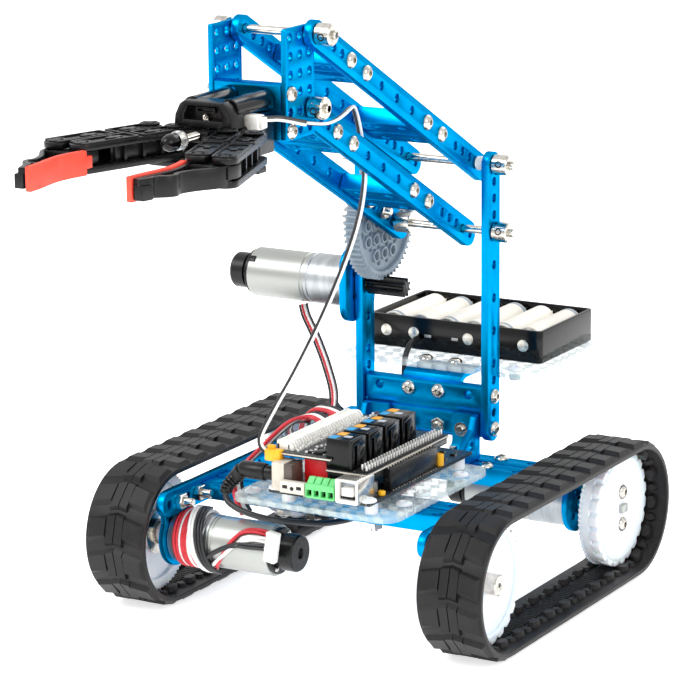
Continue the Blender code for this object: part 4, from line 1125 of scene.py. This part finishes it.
def make_clear_plate(name, box, z, fasteners):
    """A clear acrylic plate with a grid of holes."""
    x0, x1, y0, y1 = box
    piece = Piece(name)
    nx, ny = int((x1 - x0 - 6) / 8), int((y1 - y0 - 6) / 8)
    mx, my = (x0 + x1) / 2, (y0 + y1) / 2
    outlines = [scalloped(x0, x1, y0, y1)]
    for i in range(nx + 1):
        for j in range(ny + 1):
            if not (i in (0, nx) and j in (0, ny)):
                outlines.append(circle(mx + 8 * (i - nx / 2), my + 8 * (j - ny / 2), 2.1, 16))
    piece.flat(outlines, 2.8, level(0, 0, z + 1.4), "clear")
    for i in range(nx):
        x = mx + 8 * (i + 0.5 - nx / 2)
        for y in (y0 + 0.4, y1 - 1.4):
            piece.box((x - 2.2, y, z + 0.4), (x + 2.2, y + 1, z + 2.4), "clear", 0.1)
    for j in range(ny):
        y = my + 8 * (j + 0.5 - ny / 2)
        for x in (x0 + 0.4, x1 - 1.4):
            piece.box((x, y - 2.2, z + 0.4), (x + 1, y + 2.2, z + 2.4), "clear", 0.1)
    for x, y, key in fasteners:
        rivet(piece, x, y, z + 2.8, z, key)
    return piece


def rivet(piece, x, y, top, under, key):
    """A nylon rivet or steel screw head on a plate, with what shows beneath it."""
    if key in ("nylon", "cap"):
        head = [(3.6, -0.05), (3.9, 0.2), (3.7, 0.9), (2.6, 1.5), (1.7, 1.6), (1.2, 0.9), (0.2, 0.8)]
        piece.turned(head, (x, y, top), EZ, "nylon", 26)
    if key == "nylon":
        foot = [(2.6, 0), (2.8, 0.3), (2.8, 1.6), (1.9, 2.2)]
        piece.turned(foot, (x, y, under + 0.05), -EZ, "nylon", 22)
    if key == "steel":
        piece.screw((x, y, top), EZ, "steel", 3.5)
        piece.nut((x, y, under + 0.1), -EZ, 0.4)


def make_boards():
    """The clear deck plate and both circuit boards with everything on them."""
    rivets = [(40.9, -99, "nylon"), (40.8, -81.6, "nylon"), (-31, -112, "nylon"), (-31, -84, "nylon"),
              (-31, -44, "nylon"), (41, -44, "nylon")]
    piece = make_clear_plate("deck_boards", PLATE, PLATE_Z, rivets)
    for x, y in ((-8.5, -118), (34.5, -118), (-8.5, -34), (34.5, -34)):
        spacer = [(2.9, 0), (3.1, 0.3), (3.1, 5.1), (2.9, 5.4)]
        piece.turned(spacer, (x, y, PLATE_Z + 2.85), EZ, "nylon", 24)
    piece.done("chassis", "board_plate")
    make_main_board()
    make_driver_board()


def pin_row(piece, start, step, count, high, key="tin", width=0.32):
    """Square header pins standing up."""
    for k in range(count):
        p = Vector(start) + Vector(step) * k
        piece.box((p.x - width, p.y - width, p.z), (p.x + width, p.y + width, p.z + high), key, 0.1)


def make_main_board():
    """The lower board: ports along the front, a black header along its right side."""
    x0, x1, y0, y1 = MAIN
    z = MAIN_Z
    top = z + 1.6
    piece = Piece("board_main")
    piece.flat([rectangle(x0, x1, y0, y1)], 1.6, level(0, 0, z + 0.8), "board", 0.12)
    make_usb_port(piece, 23.6, 35.2, top)
    make_terminal(piece, 8.1, 22.8, top)
    make_front_connectors(piece, top)
    piece.box((33.2, -104.7, top - 0.1), (37.4, -60, z + 11.6), "black")
    pin_row(piece, (38, -103.6, top - 0.2), (0, PIN_STEP, 0), 17, 0.8)
    pin_row(piece, (35.3, -103.6, z + 11.5), (0, PIN_STEP, 0), 17, 1)
    for x, y, r, high, key in ((20, -119, 2.3, 6, "yellow"), (36.6, -112, 1.7, 2, "yellow"),
                               (30, -109, 2.6, 5, "can"), (36.4, -56.4, 2.1, 5.6, "yellow")):
        profile = [(r - 0.2, 0), (r, 0.2), (r, high - 0.4), (r - 0.4, high), (r - 0.9, high - 0.2)]
        piece.turned(profile, (x, y, top - 0.05), EZ, key, 22)
    for x, y in ((34.4, -52), (33, -46), (33.8, -38), (27, -36), (4, -36), (12, -34),
                 (20, -38), (28.8, -96), (29.4, -84), (28.8, -72)):
        chip(piece, x, y, top)
    rivet(piece, -10.8, -124.2, top, z, "cap")
    rivet(piece, 36.4, -124, top, z, "cap")
    piece.done("chassis", "main_board")


def chip(piece, x, y, top):
    """A small part with tinned ends."""
    piece.box((x - 1.2, y - 0.9, top - 0.05), (x + 1.2, y + 0.9, top + 0.8), "black", 0.1)
    for way in (-1, 1):
        end = x + way * 1.4
        piece.box((end - 0.25, y - 0.7, top - 0.05), (end + 0.25, y + 0.7, top + 0.5), "tin", 0.05)


def make_front_connectors(piece, top):
    """Power socket, flat socket with two slots, and the red strip behind them."""
    piece.box((-11.5, -128, top - 0.1), (-5, -117.2, 80.3), "beige", 0.6)
    piece.box((-5.4, -127.6, top - 0.1), (-1, -117.4, 79.9), "brown", 0.4)
    piece.turned([(4.9, -0.1), (4.9, 0.5), (3, 0.5), (3, 0.1), (0.3, 0.1)], (-11.6, -122.4, 74.2), -EX,
                 "black", 32)
    piece.box((-5.2, -131.4, top - 0.2), (7.4, -128.2, 73.3), "cream", 0.35)
    for x in (-3.8, 3.4):
        piece.box((x, -131.49, 69.9), (x + 2.6, -131, 71.5), "black", 0.1)
    piece.turned([(0.95, 0), (0.95, 0.3), (0.5, 0.3)], (1.1, -131.2, 70.2), -EY, "black", 20)
    piece.box((-5, -131.47, top - 0.1), (7.2, -131.1, top + 0.7), "black", 0.1)
    piece.box((-0.4, -117.2, top - 0.1), (15, -114.6, 80.6), "red", 0.25)
    pin_row(piece, (1.4, -115.9, 80.5), (PIN_STEP, 0, 0), 6, 0.9)


def make_usb_port(piece, x0, x1, top):
    """A square port: metal shell, light lining and a white tongue over thin contacts."""
    z0, z1 = top - 0.4, 78.2
    mid = (x0 + x1) / 2
    wide = (x1 - x0) / 2
    high = z1 - z0

    def ring(inset, hole, thick, y, key):
        outlines = [block_outline(-wide + inset, wide - inset, inset, high - inset, 1, 3)]
        if hole:
            outlines.append(block_outline(-wide + hole, wide - hole, hole, high - hole, 0.8, 3))
        piece.flat(outlines, thick, front(mid, y, z0), key, 0.15)

    ring(0, 0.8, 15.2, -123.9, "shell")
    ring(0.75, 0, 11.4, -121.6, "label_grey")
    ring(0.75, 1.5, 3, -129.6, "white")
    piece.box((mid - 2.9, -130.9, z0 + 3.4), (mid + 2.9, -126, z0 + 7.2), "white")
    piece.flat([block_outline(-4.6, 4.6, 1.9, 2.9)], 0.6, front(mid, -128.9, z0), "black", 0.1)


def make_terminal(piece, x0, x1, top):
    """A low terminal block: four square mouths and a ridged top."""
    z0, z1 = top - 0.1, 73.8
    mid = (x0 + x1) / 2
    outline = block_outline(x0 - mid, x1 - mid, 0, z1 - z0, 0.4, 2)
    step = (x1 - x0) / 4
    spots = [x0 - mid + step * (k + 0.5) for k in range(4)]
    holes = [block_outline(u - 1.3, u + 1.3, 1, 3.8) for u in spots]
    piece.flat([outline] + holes, 5, front(mid, -128.9, z0), "green", 0.25)
    back = block_outline(x0 - mid + 0.3, x1 - mid - 0.3, 0.3, z1 - z0 - 0.3)
    piece.flat([back], 2.6, front(mid, -127.4, z0), "black", 0.1)
    for u in spots:
        slope = [(-131, z1 - 0.6), (-126.6, z1 - 0.6), (-126.6, z1 + 2.4), (-127.8, z1 + 2.4)]
        piece.flat([slope], step - 0.5, facing(mid + u, 0, 0, 0), "green", 0.25)


def make_socket(piece, x0, x1, y0, y1, z0, z1):
    """A glossy block with a narrow slot in its right side and marks on its top."""
    mid = (y0 + y1) / 2
    long, high = (y1 - y0) / 2, z1 - z0
    outline = block_outline(x0, x1 - 1.4, y0, y1, 0.6, 3)
    piece.flat([outline], high, level(0, 0, (z0 + z1) / 2), "gloss_black", 0.35)
    face = block_outline(-long, long, 0, high, 0.5, 3)
    mouth = [(-long + 2.4, 1.8), (-1.4, 1.8), (-1.4, high - 3), (-long + 2.4, high - 3)]
    piece.flat([face, mouth], 1.8, facing(x1 - 0.9, mid, z0, 0), "gloss_black")
    piece.box((x1 - 0.5, mid + 0.8, z0 + 2.4), (x1 + 0.05, y1 - 1.4, z1 - 3.6), "gloss_black", 0.2)
    flat = level(0, 0, z1 + 0.02)
    patches = (((x0 + 0.6, x0 + 4.4, y0 + 1, mid - 0.4), "label_blue"),
               ((x0 + 1.2, x0 + 5.6, mid + 1, y1 - 0.6), "label_orange"),
               ((x0 + 6.2, x0 + 10, mid - 1.6, mid + 1.4), "label_grey"))
    for (u0, u1, v0, v1), key in patches:
        piece.flat([block_outline(u0, u1, v0, v1, 0.4, 2)], 0.16, flat, key, 0.04)


def make_driver_board():
    """The upper boards: the left one has the white strip, the lower right one the socket blocks."""
    piece = Piece("board_driver")
    for (x0, x1, y0, y1), z in ((DRIVER, DRIVER_Z), (COMB, COMB_Z)):
        middle = level(0, 0, z + 0.78)
        piece.flat([rectangle(x0, x1, y0, y1)], 1.5, middle, "board", 0.1)
        rim = rectangle(x0 - 0.02, x1 + 0.02, y0 - 0.02, y1 + 0.02)
        hole = rectangle(x0 + 0.25, x1 - 0.25, y0 + 0.25, y1 - 0.25)
        piece.flat([rim, hole], 0.8, middle, "cream", 0.1)
    high = COMB_Z + 1.5
    make_comb(piece, -14.3, -7.4, -118, -53, high, 87.8)
    make_driver_sockets(piece, DRIVER_Z + 1.5)
    make_small_parts(piece, high)
    piece.box((-17.4, -124, 79.2), (-9.4, -119.6, 84.6), "yellow", 0.5)
    piece.box((-17.2, -121.8, 84.2), (-13.4, -119.8, 86.2), "yellow", 0.4)
    piece.done("chassis", "driver_board")


def make_driver_sockets(piece, top):
    """Four socket blocks with ribs between them, and two rows of pins on their strip."""
    y0, y1 = DRIVER[2:]
    pitch = 15.7
    for k in range(4):
        y = y0 + 1.5 + pitch * k
        make_socket(piece, 12.7, 26.3, y, y + 13, top - 0.1, 92.7)
    for k in range(4):
        y = y0 + 15.9 + pitch * k
        piece.box((13.6, y - 0.6, top - 0.1), (25.4, y + 0.6, top + 6), "black", 0.2)
    pin_row(piece, (32.6, y0 + 3.4, top + 0.5), (0, PIN_STEP, 0), 29, 2.6, "bright", 0.38)
    pin_row(piece, (29.8, y0 + 4.6, top + 0.5), (0, PIN_STEP, 0), 28, 2.6, "bright", 0.38)
    piece.box((28.4, y0 + 2, top - 0.1), (33.8, y1 - 2, top + 0.7), "black", 0.15)
    piece.box((13.9, y0 + 0.4, top - 4.4), (34.2, y1 - 0.4, top - 1.7), "black")


def make_small_parts(piece, high):
    """Chips, solder points and pins on the left board, beside the white strip."""
    for x, y in ((2.6, -117), (6, -117.4), (9.6, -117), (4, -110), (8.4, -106), (3.2, -98), (8, -90),
                 (4, -80), (8, -70), (3.6, -62), (8.8, -54)):
        chip(piece, x, y, high)
    base = high - 0.1
    for k in range(30):
        y = DRIVER[2] + 3.6 + 2.4 * k
        piece.box((-3.6, y, base), (-2.6, y + 1, high + 1.1 + 0.5 * (k % 3)), "bright", 0.15)
        piece.box((0.4 + k % 4, y + 0.4, base), (1.8 + k % 4, y + 1.4, high + 0.8), "bright", 0.15)
        if k % 4 == 1:
            piece.box((5.6, y - 2.2, base), (9.8, y + 2.8, high + 1.4), "black", 0.2)
            for x in (5.2, 10.2):
                pin_row(piece, (x, y - 1.8, base), (0, 1.3, 0), 4, 0.7, "bright")


def make_comb(piece, x0, x1, y0, y1, z0, z1):
    """The white connector strip: a body, sloping teeth down its right side, and pins."""
    piece.box((x0, y0, z0 - 0.1), (x1, y1, z1 - 1.2), "white")
    piece.box((x0, y0, z0), (x0 + 1.6, y1, z1), "white")
    piece.box((x1 - 1.2, y0, z0), (x1, y1, z1 - 0.2), "white")
    count = 27
    step = (y1 - y0 - 1) / count
    wide, high = x1 - x0, z1 - z0
    tooth = [(0, 0), (0, high), (2.2, high - 0.4), (wide - 1.2, high), (wide + 0.2, high - 0.3),
             (wide + 1.8, 1.6), (wide + 1.8, 0)]
    for k in range(count + 1):
        y = y0 + 0.5 + step * k
        piece.flat([tooth], 0.9, front(x0, y, z0), "white", 0.15)
        if k < count:
            gap = y + step / 2
            piece.box((x0 + 3.4, gap - 0.35, z1 - 1.4), (x0 + 4.4, gap + 0.35, z1 - 0.6), "tin", 0.1)
            piece.box((x1 + 0.1, gap - 0.3, z0), (x1 + 3, gap + 0.3, z0 + 1), "bright", 0.1)


# ---- battery

def make_battery():
    """Bracket, clear plate, open box and six cells."""
    make_battery_bracket()
    fasteners = []
    for x, y in ((-40, 14), (40, 14), (-40, 90), (40, 90)):
        fasteners.append((x, y, "nylon"))
    for x in (-8, 8):
        fasteners.append((x, 14, "steel"))
    piece = make_clear_plate("deck_battery", (-53, 53, 6.4, 98), 94.8, fasteners)
    piece.done("chassis", "battery_plate")
    make_battery_box()
    make_cells()


def make_battery_bracket():
    """A bent blue strip under the battery plate, screwed to the uprights' slab."""
    piece = Piece("bracket_battery")
    profile = [(4.3, 64), (7, 64), (7, 88.6), (8.2, 91), (10.4, 91.7), (26, 91.7), (26, 94.4),
               (8.6, 94.4), (5.4, 93), (4.3, 90.6)]
    piece.flat([profile], 31.6, facing(0, 0, 0, 0), "blue", 0.4)
    for x in (-8, 8):
        piece.screw((x, 7, 79.3), EY, radius=3.4)
    piece.done("chassis", "battery_bracket")


def make_battery_box():
    """The open holder: floor, rounded walls, ribs between cells and spring contacts."""
    x0, x1, y0, y1 = -47, 47, 28, 86
    floor, high = BOX_FLOOR, 16
    piece = Piece("holder_battery")
    mx, my = (x0 + x1) / 2, (y0 + y1) / 2
    frame = level(mx, my, floor + 1)
    u, v = (x1 - x0) / 2, (y1 - y0) / 2
    piece.flat([block_outline(-u + 0.1, u - 0.1, -v + 0.1, v - 0.1, 2.4)], 2, frame, "gloss_black", 0.4)
    frame = level(mx, my, floor + high / 2)
    outer = block_outline(-u, u, -v, v, 2.6)
    inner = block_outline(-u + 1.7, u - 1.7, -v + 1.9, v - 1.9, 1.6)
    piece.flat([outer, inner], high, frame, "gloss_black", 0.45)
    for k in range(7):
        x = mx + CELL_PITCH * (k - 3)
        if 0 < k < 6:
            for y in (y0 + 1.2, y1 - 1.2):
                way = 1 if y < my else -1
                near, far = min(y, y + way * 7), max(y, y + way * 7)
                piece.box((x - 0.8, near, floor + 1.8), (x + 0.8, far, floor + 11.6), "gloss_black")
    for k in range(6):
        x = mx + CELL_PITCH * (k - 2.5)
        for y, way in ((y0, -1), (y1, 1)):
            leaf = y - way * 2.3
            piece.box((x - 3.8, leaf - 0.2, floor + 3), (x + 3.8, leaf + 0.2, floor + 13), "tin", 0.12)
    for y, way in ((y0, -1), (y1, 1)):
        for x in (-37.6, -22.4, 7.4, 37.2):
            piece.turned([(2.9, -0.2), (2.9, 0.1), (2.3, 0.22), (1.4, 0.3), (0.3, 0.34)],
                         (x, y, floor + 8.2), EY * way, "tin", 24)
        for x in (-14.6, 0.2):
            piece.box((x - 1.8, y - 0.25, floor + 6.6), (x + 1.8, y + 0.25, floor + 8), "can", 0.1)
    piece.done("chassis", "battery_box")


def make_cells():
    """Six cells, end to end reversed in turn, with a spring at each flat end."""
    z = BOX_FLOOR + 2.2 + 7
    y0, y1 = 31.2, 82.8
    piece = Piece("cells")
    for k in range(6):
        x = CELL_PITCH * (k - 2.5)
        start, way = (Vector((x, y0 + 0.7, z)), EY) if k % 2 else (Vector((x, y1 - 0.7, z)), -EY)
        body = [(5, 2.6), (6.7, 2.6), (6.95, 2.9), (6.95, 47.4), (6.7, 47.9), (6.2, 48)]
        piece.turned(body, start, way, "cell", 36)
        piece.turned([(2, 0), (4.9, 2.2), (6.2, 2.5), (6.2, 2.7)], start, way, "tin", 28)
        cap = [(6.3, 47.8), (6.2, 48.4), (2.9, 48.5), (2.8, 49.9), (2.4, 50.1)]
        piece.turned(cap, start, way, "tin", 28)
        piece.turned([(6.98, 44.6), (6.98, 47), (6.9, 47.05)], start, way, "grey", 36)
        coil = []
        for i in range(33):
            a = 2 * math.pi * i / 8
            side = Vector((math.cos(a), 0, math.sin(a))) * (4.6 - 0.06 * i)
            coil.append(start + side + way * (0.1 + 0.085 * i))
        piece.tube(coil, 0.35, "tin", 0, 2)
    piece.done("chassis", "battery_cells")


# ---- leads

GRIPPER_TAIL = [(22, -188, 248.4), (23, -183.6, 248), (23.8, -177, 247.2), (24.9, -170, 245.6),
                (25.8, -162, 243.4), (26, -158, 242.4)]
GRIPPER_ARM = [(26, -158, 242.4), (25.8, -142, 239.6), (25, -131, 239.4), (23.4, -121, 240.2),
               (20.8, -111.4, 240.9), (17.2, -101.6, 240.4), (14.2, -94, 237.2), (12.8, -89, 231.6),
               (12.8, -86.8, 225.4)]
GRIPPER_BASE = [(12.8, -86.8, 225.4), (12.2, -82, 210), (10.2, -80.6, 195), (7, -81, 181),
                (3.6, -85.5, 166), (-0.4, -93, 149), (-5.4, -101, 132), (-10.4, -110, 116),
                (-15.4, -117, 103), (-20.6, -120.5, 91), (-21, -121.2, 85.6), (-18.4, -120.4, 82.2)]
ARM_LEAD = [(-68.5, 0, 121.4), (-66, -1.5, 116), (-58.5, -4.5, 106), (-51, -7.5, 93),
            (-45, -12, 80.5), (-43, -21, 70), (-46, -34, 66), (-47, -48, 68.6),
            (-42, -60, 75.6), (-34, -68, 82.4), (-26, -72, 85.4), (-22.6, -73, 85.6)]
BATTERY_LEAD = [(-31, -121, 71.6), (-34, -121.2, 69), (-37, -124.6, 64.4), (-36, -127, 59.4),
                (-30, -128.6, 56.4), (-22, -128.6, 54.4), (-14, -126.8, 52.8), (-8.6, -121, 51),
                (-4, -110, 48), (1, -100, 45.9), (6, -84, 44.8), (7, -66, 45.2),
                (2, -46, 45.4), (-6, -24, 45.2), (-13, -6, 44.4), (-18, 6, 45.6),
                (-19.5, 11.6, 52), (-19.5, 12.2, 66), (-19.5, 12.6, 84), (-19.5, 13.6, 96.4),
                (-19.5, 19, 102.6), (-19.5, 26.4, 104)]


PAIRS = ("wire_red", "wire_red", "wire_white", "wire_white", "wire_black", "wire_black")


def strands(piece, route, keys, radius, across):
    """Insulated wires lying side by side along one route."""
    centre = smooth_route(route, SMOOTH)
    count = len(keys)
    rows = [[] for key in keys]
    for i, p in enumerate(centre):
        way = (centre[min(i + 1, len(centre) - 1)] - centre[max(i - 1, 0)]).normalized()
        side = (across - way * across.dot(way)).normalized()
        for k in range(count):
            rows[k].append(p + side * (k - (count - 1) / 2) * radius * 1.96)
    for key, row in zip(keys, rows):
        piece.tube(row, radius, key, 0, 2)


def make_gripper_lead():
    """White and black wires on from the gripper's own tail, past the links, to the driver board."""
    keys = ("wire_black", "wire_white")
    top = Piece("wire_gripper_arm")
    strands(top, GRIPPER_ARM, keys, WIRE_R, Vector((1, 0.3, 0.2)))
    upper = top.done("wrist", "gripper_lead_arm", angle=60,
                     bend=("lower_arm", GRIPPER_ARM[0], GRIPPER_ARM[2]))
    low = Piece("wire_gripper_base")
    strands(low, GRIPPER_BASE, keys, WIRE_R, Vector((1, 0.3, 0.2)))
    lower = low.done("lower_arm", "gripper_lead_base", angle=60,
                     bend=("chassis", GRIPPER_BASE[0], GRIPPER_BASE[5]))


def make_arm_motor_lead():
    """Wires of the arm motor, down to the white strip."""
    piece = Piece("wire_arm_motor")
    keys = ("wire_black", "wire_red", "wire_white", "wire_black")
    strands(piece, ARM_LEAD, keys, 0.6, Vector((0.5, 0.6, 0.6)))
    item = piece.done("chassis", "arm_motor_lead", angle=60)


def make_board_wires():
    """Wires of the track motors, gathered at the white strip."""
    piece = Piece("wire_board_links")
    for k, key in enumerate(PAIRS):
        lift = 1.5 * k
        piece.tube([(-15, -78 + 1.6 * k, 86.6), (-22, -77 + lift, 88), (-28, -86 + lift, 86.4 - 0.2 * k),
                    (-37, -97 + lift, 75), (-42.8, -104 + lift, 67), (-44, -108 + lift, 61),
                    (-41, -110 + lift, 52), (-38, -110 + lift, 46.9)], 0.85, key, 8, 2)
        piece.tube([(-15, -64 + 1.6 * k, 86.8), (-22, -62 + lift, 87.6), (-30, -60 + lift, 86),
                    (-40, -52 + lift, 76), (-44, -44 + lift, 64), (-40, -30 + lift, 50),
                    (-20, -12 + lift, 44.6), (4, 10 + lift, 45.4)], 0.85, key, 8, 2)
    piece.done("chassis", angle=60)


def make_battery_lead():
    """The power lead with its moulded plug and ribbed strain relief."""
    piece = Piece("wire_battery")
    piece.tube(BATTERY_LEAD, 1.45, "wire_black", 8, 3)
    moulding = Piece("plug_battery")
    start = Vector((-32, -121.2, 73))
    plug = [(2.6, 0), (3.5, 0.8), (4.05, 2), (4.05, 13.4), (3.8, 14), (3.3, 14.2), (3.3, 20), (3, 20.4)]
    moulding.turned(plug, start, EX, "black", 36)
    route = smooth_route([start + Vector((1, 0, -0.6))] + BATTERY_LEAD[1:4], SMOOTH)
    for k in range(0, 20, 2):
        a, b = route[k], route[k + 1]
        reach = 3.7 - 0.04 * k
        moulding.turned([(2.4, -0.5), (reach, 0), (reach, 0.9), (2.4, 1.4)], a, b - a, "black", 24)
    plug_item = moulding.done("chassis", angle=45)
    item = piece.done("chassis", "battery_lead", angle=45)


def round_motor(x, degrees, radius):
    """A point on the left track motor, by its place along the axis and its angle."""
    a = math.radians(degrees)
    return Vector((x, FRONT_Y + radius * math.cos(a), AXLE_Z + radius * math.sin(a)))


def make_left_motor_wires():
    """Wires wound round the left track motor, and three pairs from there to a white plug."""
    piece = Piece("wire_motor_left")
    tops = (((-50, 262), (-45, 222), (-40, 188), (-35.4, 156), (-31, 134), (-24.6, 127), (-17.6, 131)),
            ((-55, 262), (-47.6, 222), (-39, 186), (-32, 160), (-24.6, 146), (-16.8, 146)),
            ((-58, 262), (-50, 205), (-42, 180), (-33, 164), (-25.5, 162), (-17.6, 160)))
    for pair, spots in enumerate(tops):
        for half in (-1, 1):
            route = [round_motor(x + half * 0.6, a - half * 3.2, 13 + 0.25 * pair) for x, a in spots]
            route.append(Vector((-15, -124.6, 43.4 - 3 * pair - 0.65 * half)))
            piece.tube(route, 0.82, PAIRS[2 * pair], 6, 2)
    pitch = 1.66
    for k, colour in enumerate(("red", "red", "white", "red", "red", "white")):
        wound = []
        for i in range(32):
            wound.append(round_motor(-68 + pitch * k + 7.5 * i / 31, 40 + 20 * i, 13.05 + 0.004 * i))
        piece.tube(wound, 0.84, "wire_" + colour, 2, 2)
    for k, colour in enumerate(("white", "white", "black", "black", "black")):
        wound = [round_motor(-63 + pitch * k + 0.9 * i, 70 + 15 * i, 14.5) for i in range(13)]
        piece.tube(wound, 0.8, "wire_" + colour, 2, 2)
    plug = front(-12.9, -125.9, 39.4) @ Matrix.Rotation(math.radians(-9), 4, "Z")
    piece.box((-3, -7.2, -1.9), (3, 7.2, 1.9), "white", 0.5, plug)
    for k in range(6):
        v = -6 + 2.4 * k
        piece.box((-3.5, v - 0.7, -1.2), (-2.8, v + 0.7, 1.2), "cream", 0.15, plug)
    piece.done("chassis", angle=60)


def make_right_motor_wires():
    """Four wires from beside the rear motor, forward under the boards' plate."""
    piece = Piece("wire_motor_right")
    line = ((0, 14, 44), (-3, 8, 46.4), (-8, -2, 44.6), (-10, -20, 44.6), (-8, -40, 44.6), (-4, -58, 46),
            (-2, -68, 52), (-1, -70, 56.6))
    for k, key in enumerate(PAIRS[1:5]):
        route = [Vector((14 - 1.1 * k + x, y, z)) for x, y, z in line]
        piece.tube(route, 0.6, key, 6, 2)
    piece.done("chassis", angle=60)


# ---- stage

def make_camera():
    turn, tilt, roll, distance = 0.5146612, 0.2379622, -0.0084116, 1.55694
    back = Vector((math.sin(turn) * math.cos(tilt), -math.cos(turn) * math.cos(tilt), math.sin(tilt)))
    right = Vector((math.cos(turn), math.sin(turn), 0))
    up = back.cross(right)
    side = right * math.cos(roll) + up * math.sin(roll)
    top = up * math.cos(roll) - right * math.sin(roll)
    target = place((-6.325, -63.989, 118.983))
    lens = bpy.data.cameras.new("camera")
    lens.lens = 172.78
    lens.sensor_width = 36
    lens.clip_start = 0.05
    item = add_object("camera", lens)
    item.matrix_world = frame_at((side, top, back), target + back * distance)
    bpy.context.scene.camera = item


def add_light(name, spot, target, size, power):
    """A soft round light aimed at a point."""
    lamp = bpy.data.lights.new(name, "AREA")
    lamp.shape = "DISK"
    lamp.size = size
    lamp.energy = power
    item = add_object(name, lamp)
    item.location = spot
    item.rotation_euler = (Vector(target) - Vector(spot)).to_track_quat("-Z", "Y").to_euler()


def make_stage():
    """White floor, pale world and soft lights."""
    work = bmesh.new()
    bmesh.ops.create_grid(work, x_segments=1, y_segments=1, size=4)
    mesh = bpy.data.meshes.new("floor")
    work.to_mesh(mesh)
    work.free()
    paint = surface("floor_paint", "FAFAFA", "FFFFFF", (0.85, 0.95), 0, 3,
                    Emission_Color=(1, 1, 1, 1), Emission_Strength=0.65)
    mesh.materials.append(paint)
    floor = add_object("floor", mesh)
    floor.location = (0, 0, -0.0006)
    world = bpy.data.worlds.new("world")
    world.use_nodes = True
    sky = world.node_tree.nodes["Background"]
    sky.inputs["Color"].default_value = (1, 1, 1, 1)
    sky.inputs["Strength"].default_value = 1
    bpy.context.scene.world = world
    add_light("key", (-0.7, -0.9, 1.3), (0, 0, 0.1), 0.9, 12)
    add_light("fill", (1.2, -0.5, 0.8), (0, 0, 0.1), 0.8, 4.5)
    add_light("rim", (0.2, 1.1, 1), (0, 0, 0.1), 0.8, 4)
    bpy.context.scene.view_settings.view_transform = "Standard"


# ---- everything

MATERIALS = make_materials()
make_camera()
make_gripper_lead()
make_arm_motor_lead()
make_board_wires()
make_battery_lead()
make_left_motor_wires()
make_right_motor_wires()
make_chassis()
make_crawlers()
make_links()
make_gear_train()
make_shafts()
make_wrist()
make_gripper()
make_boards()
make_battery()
make_stage()
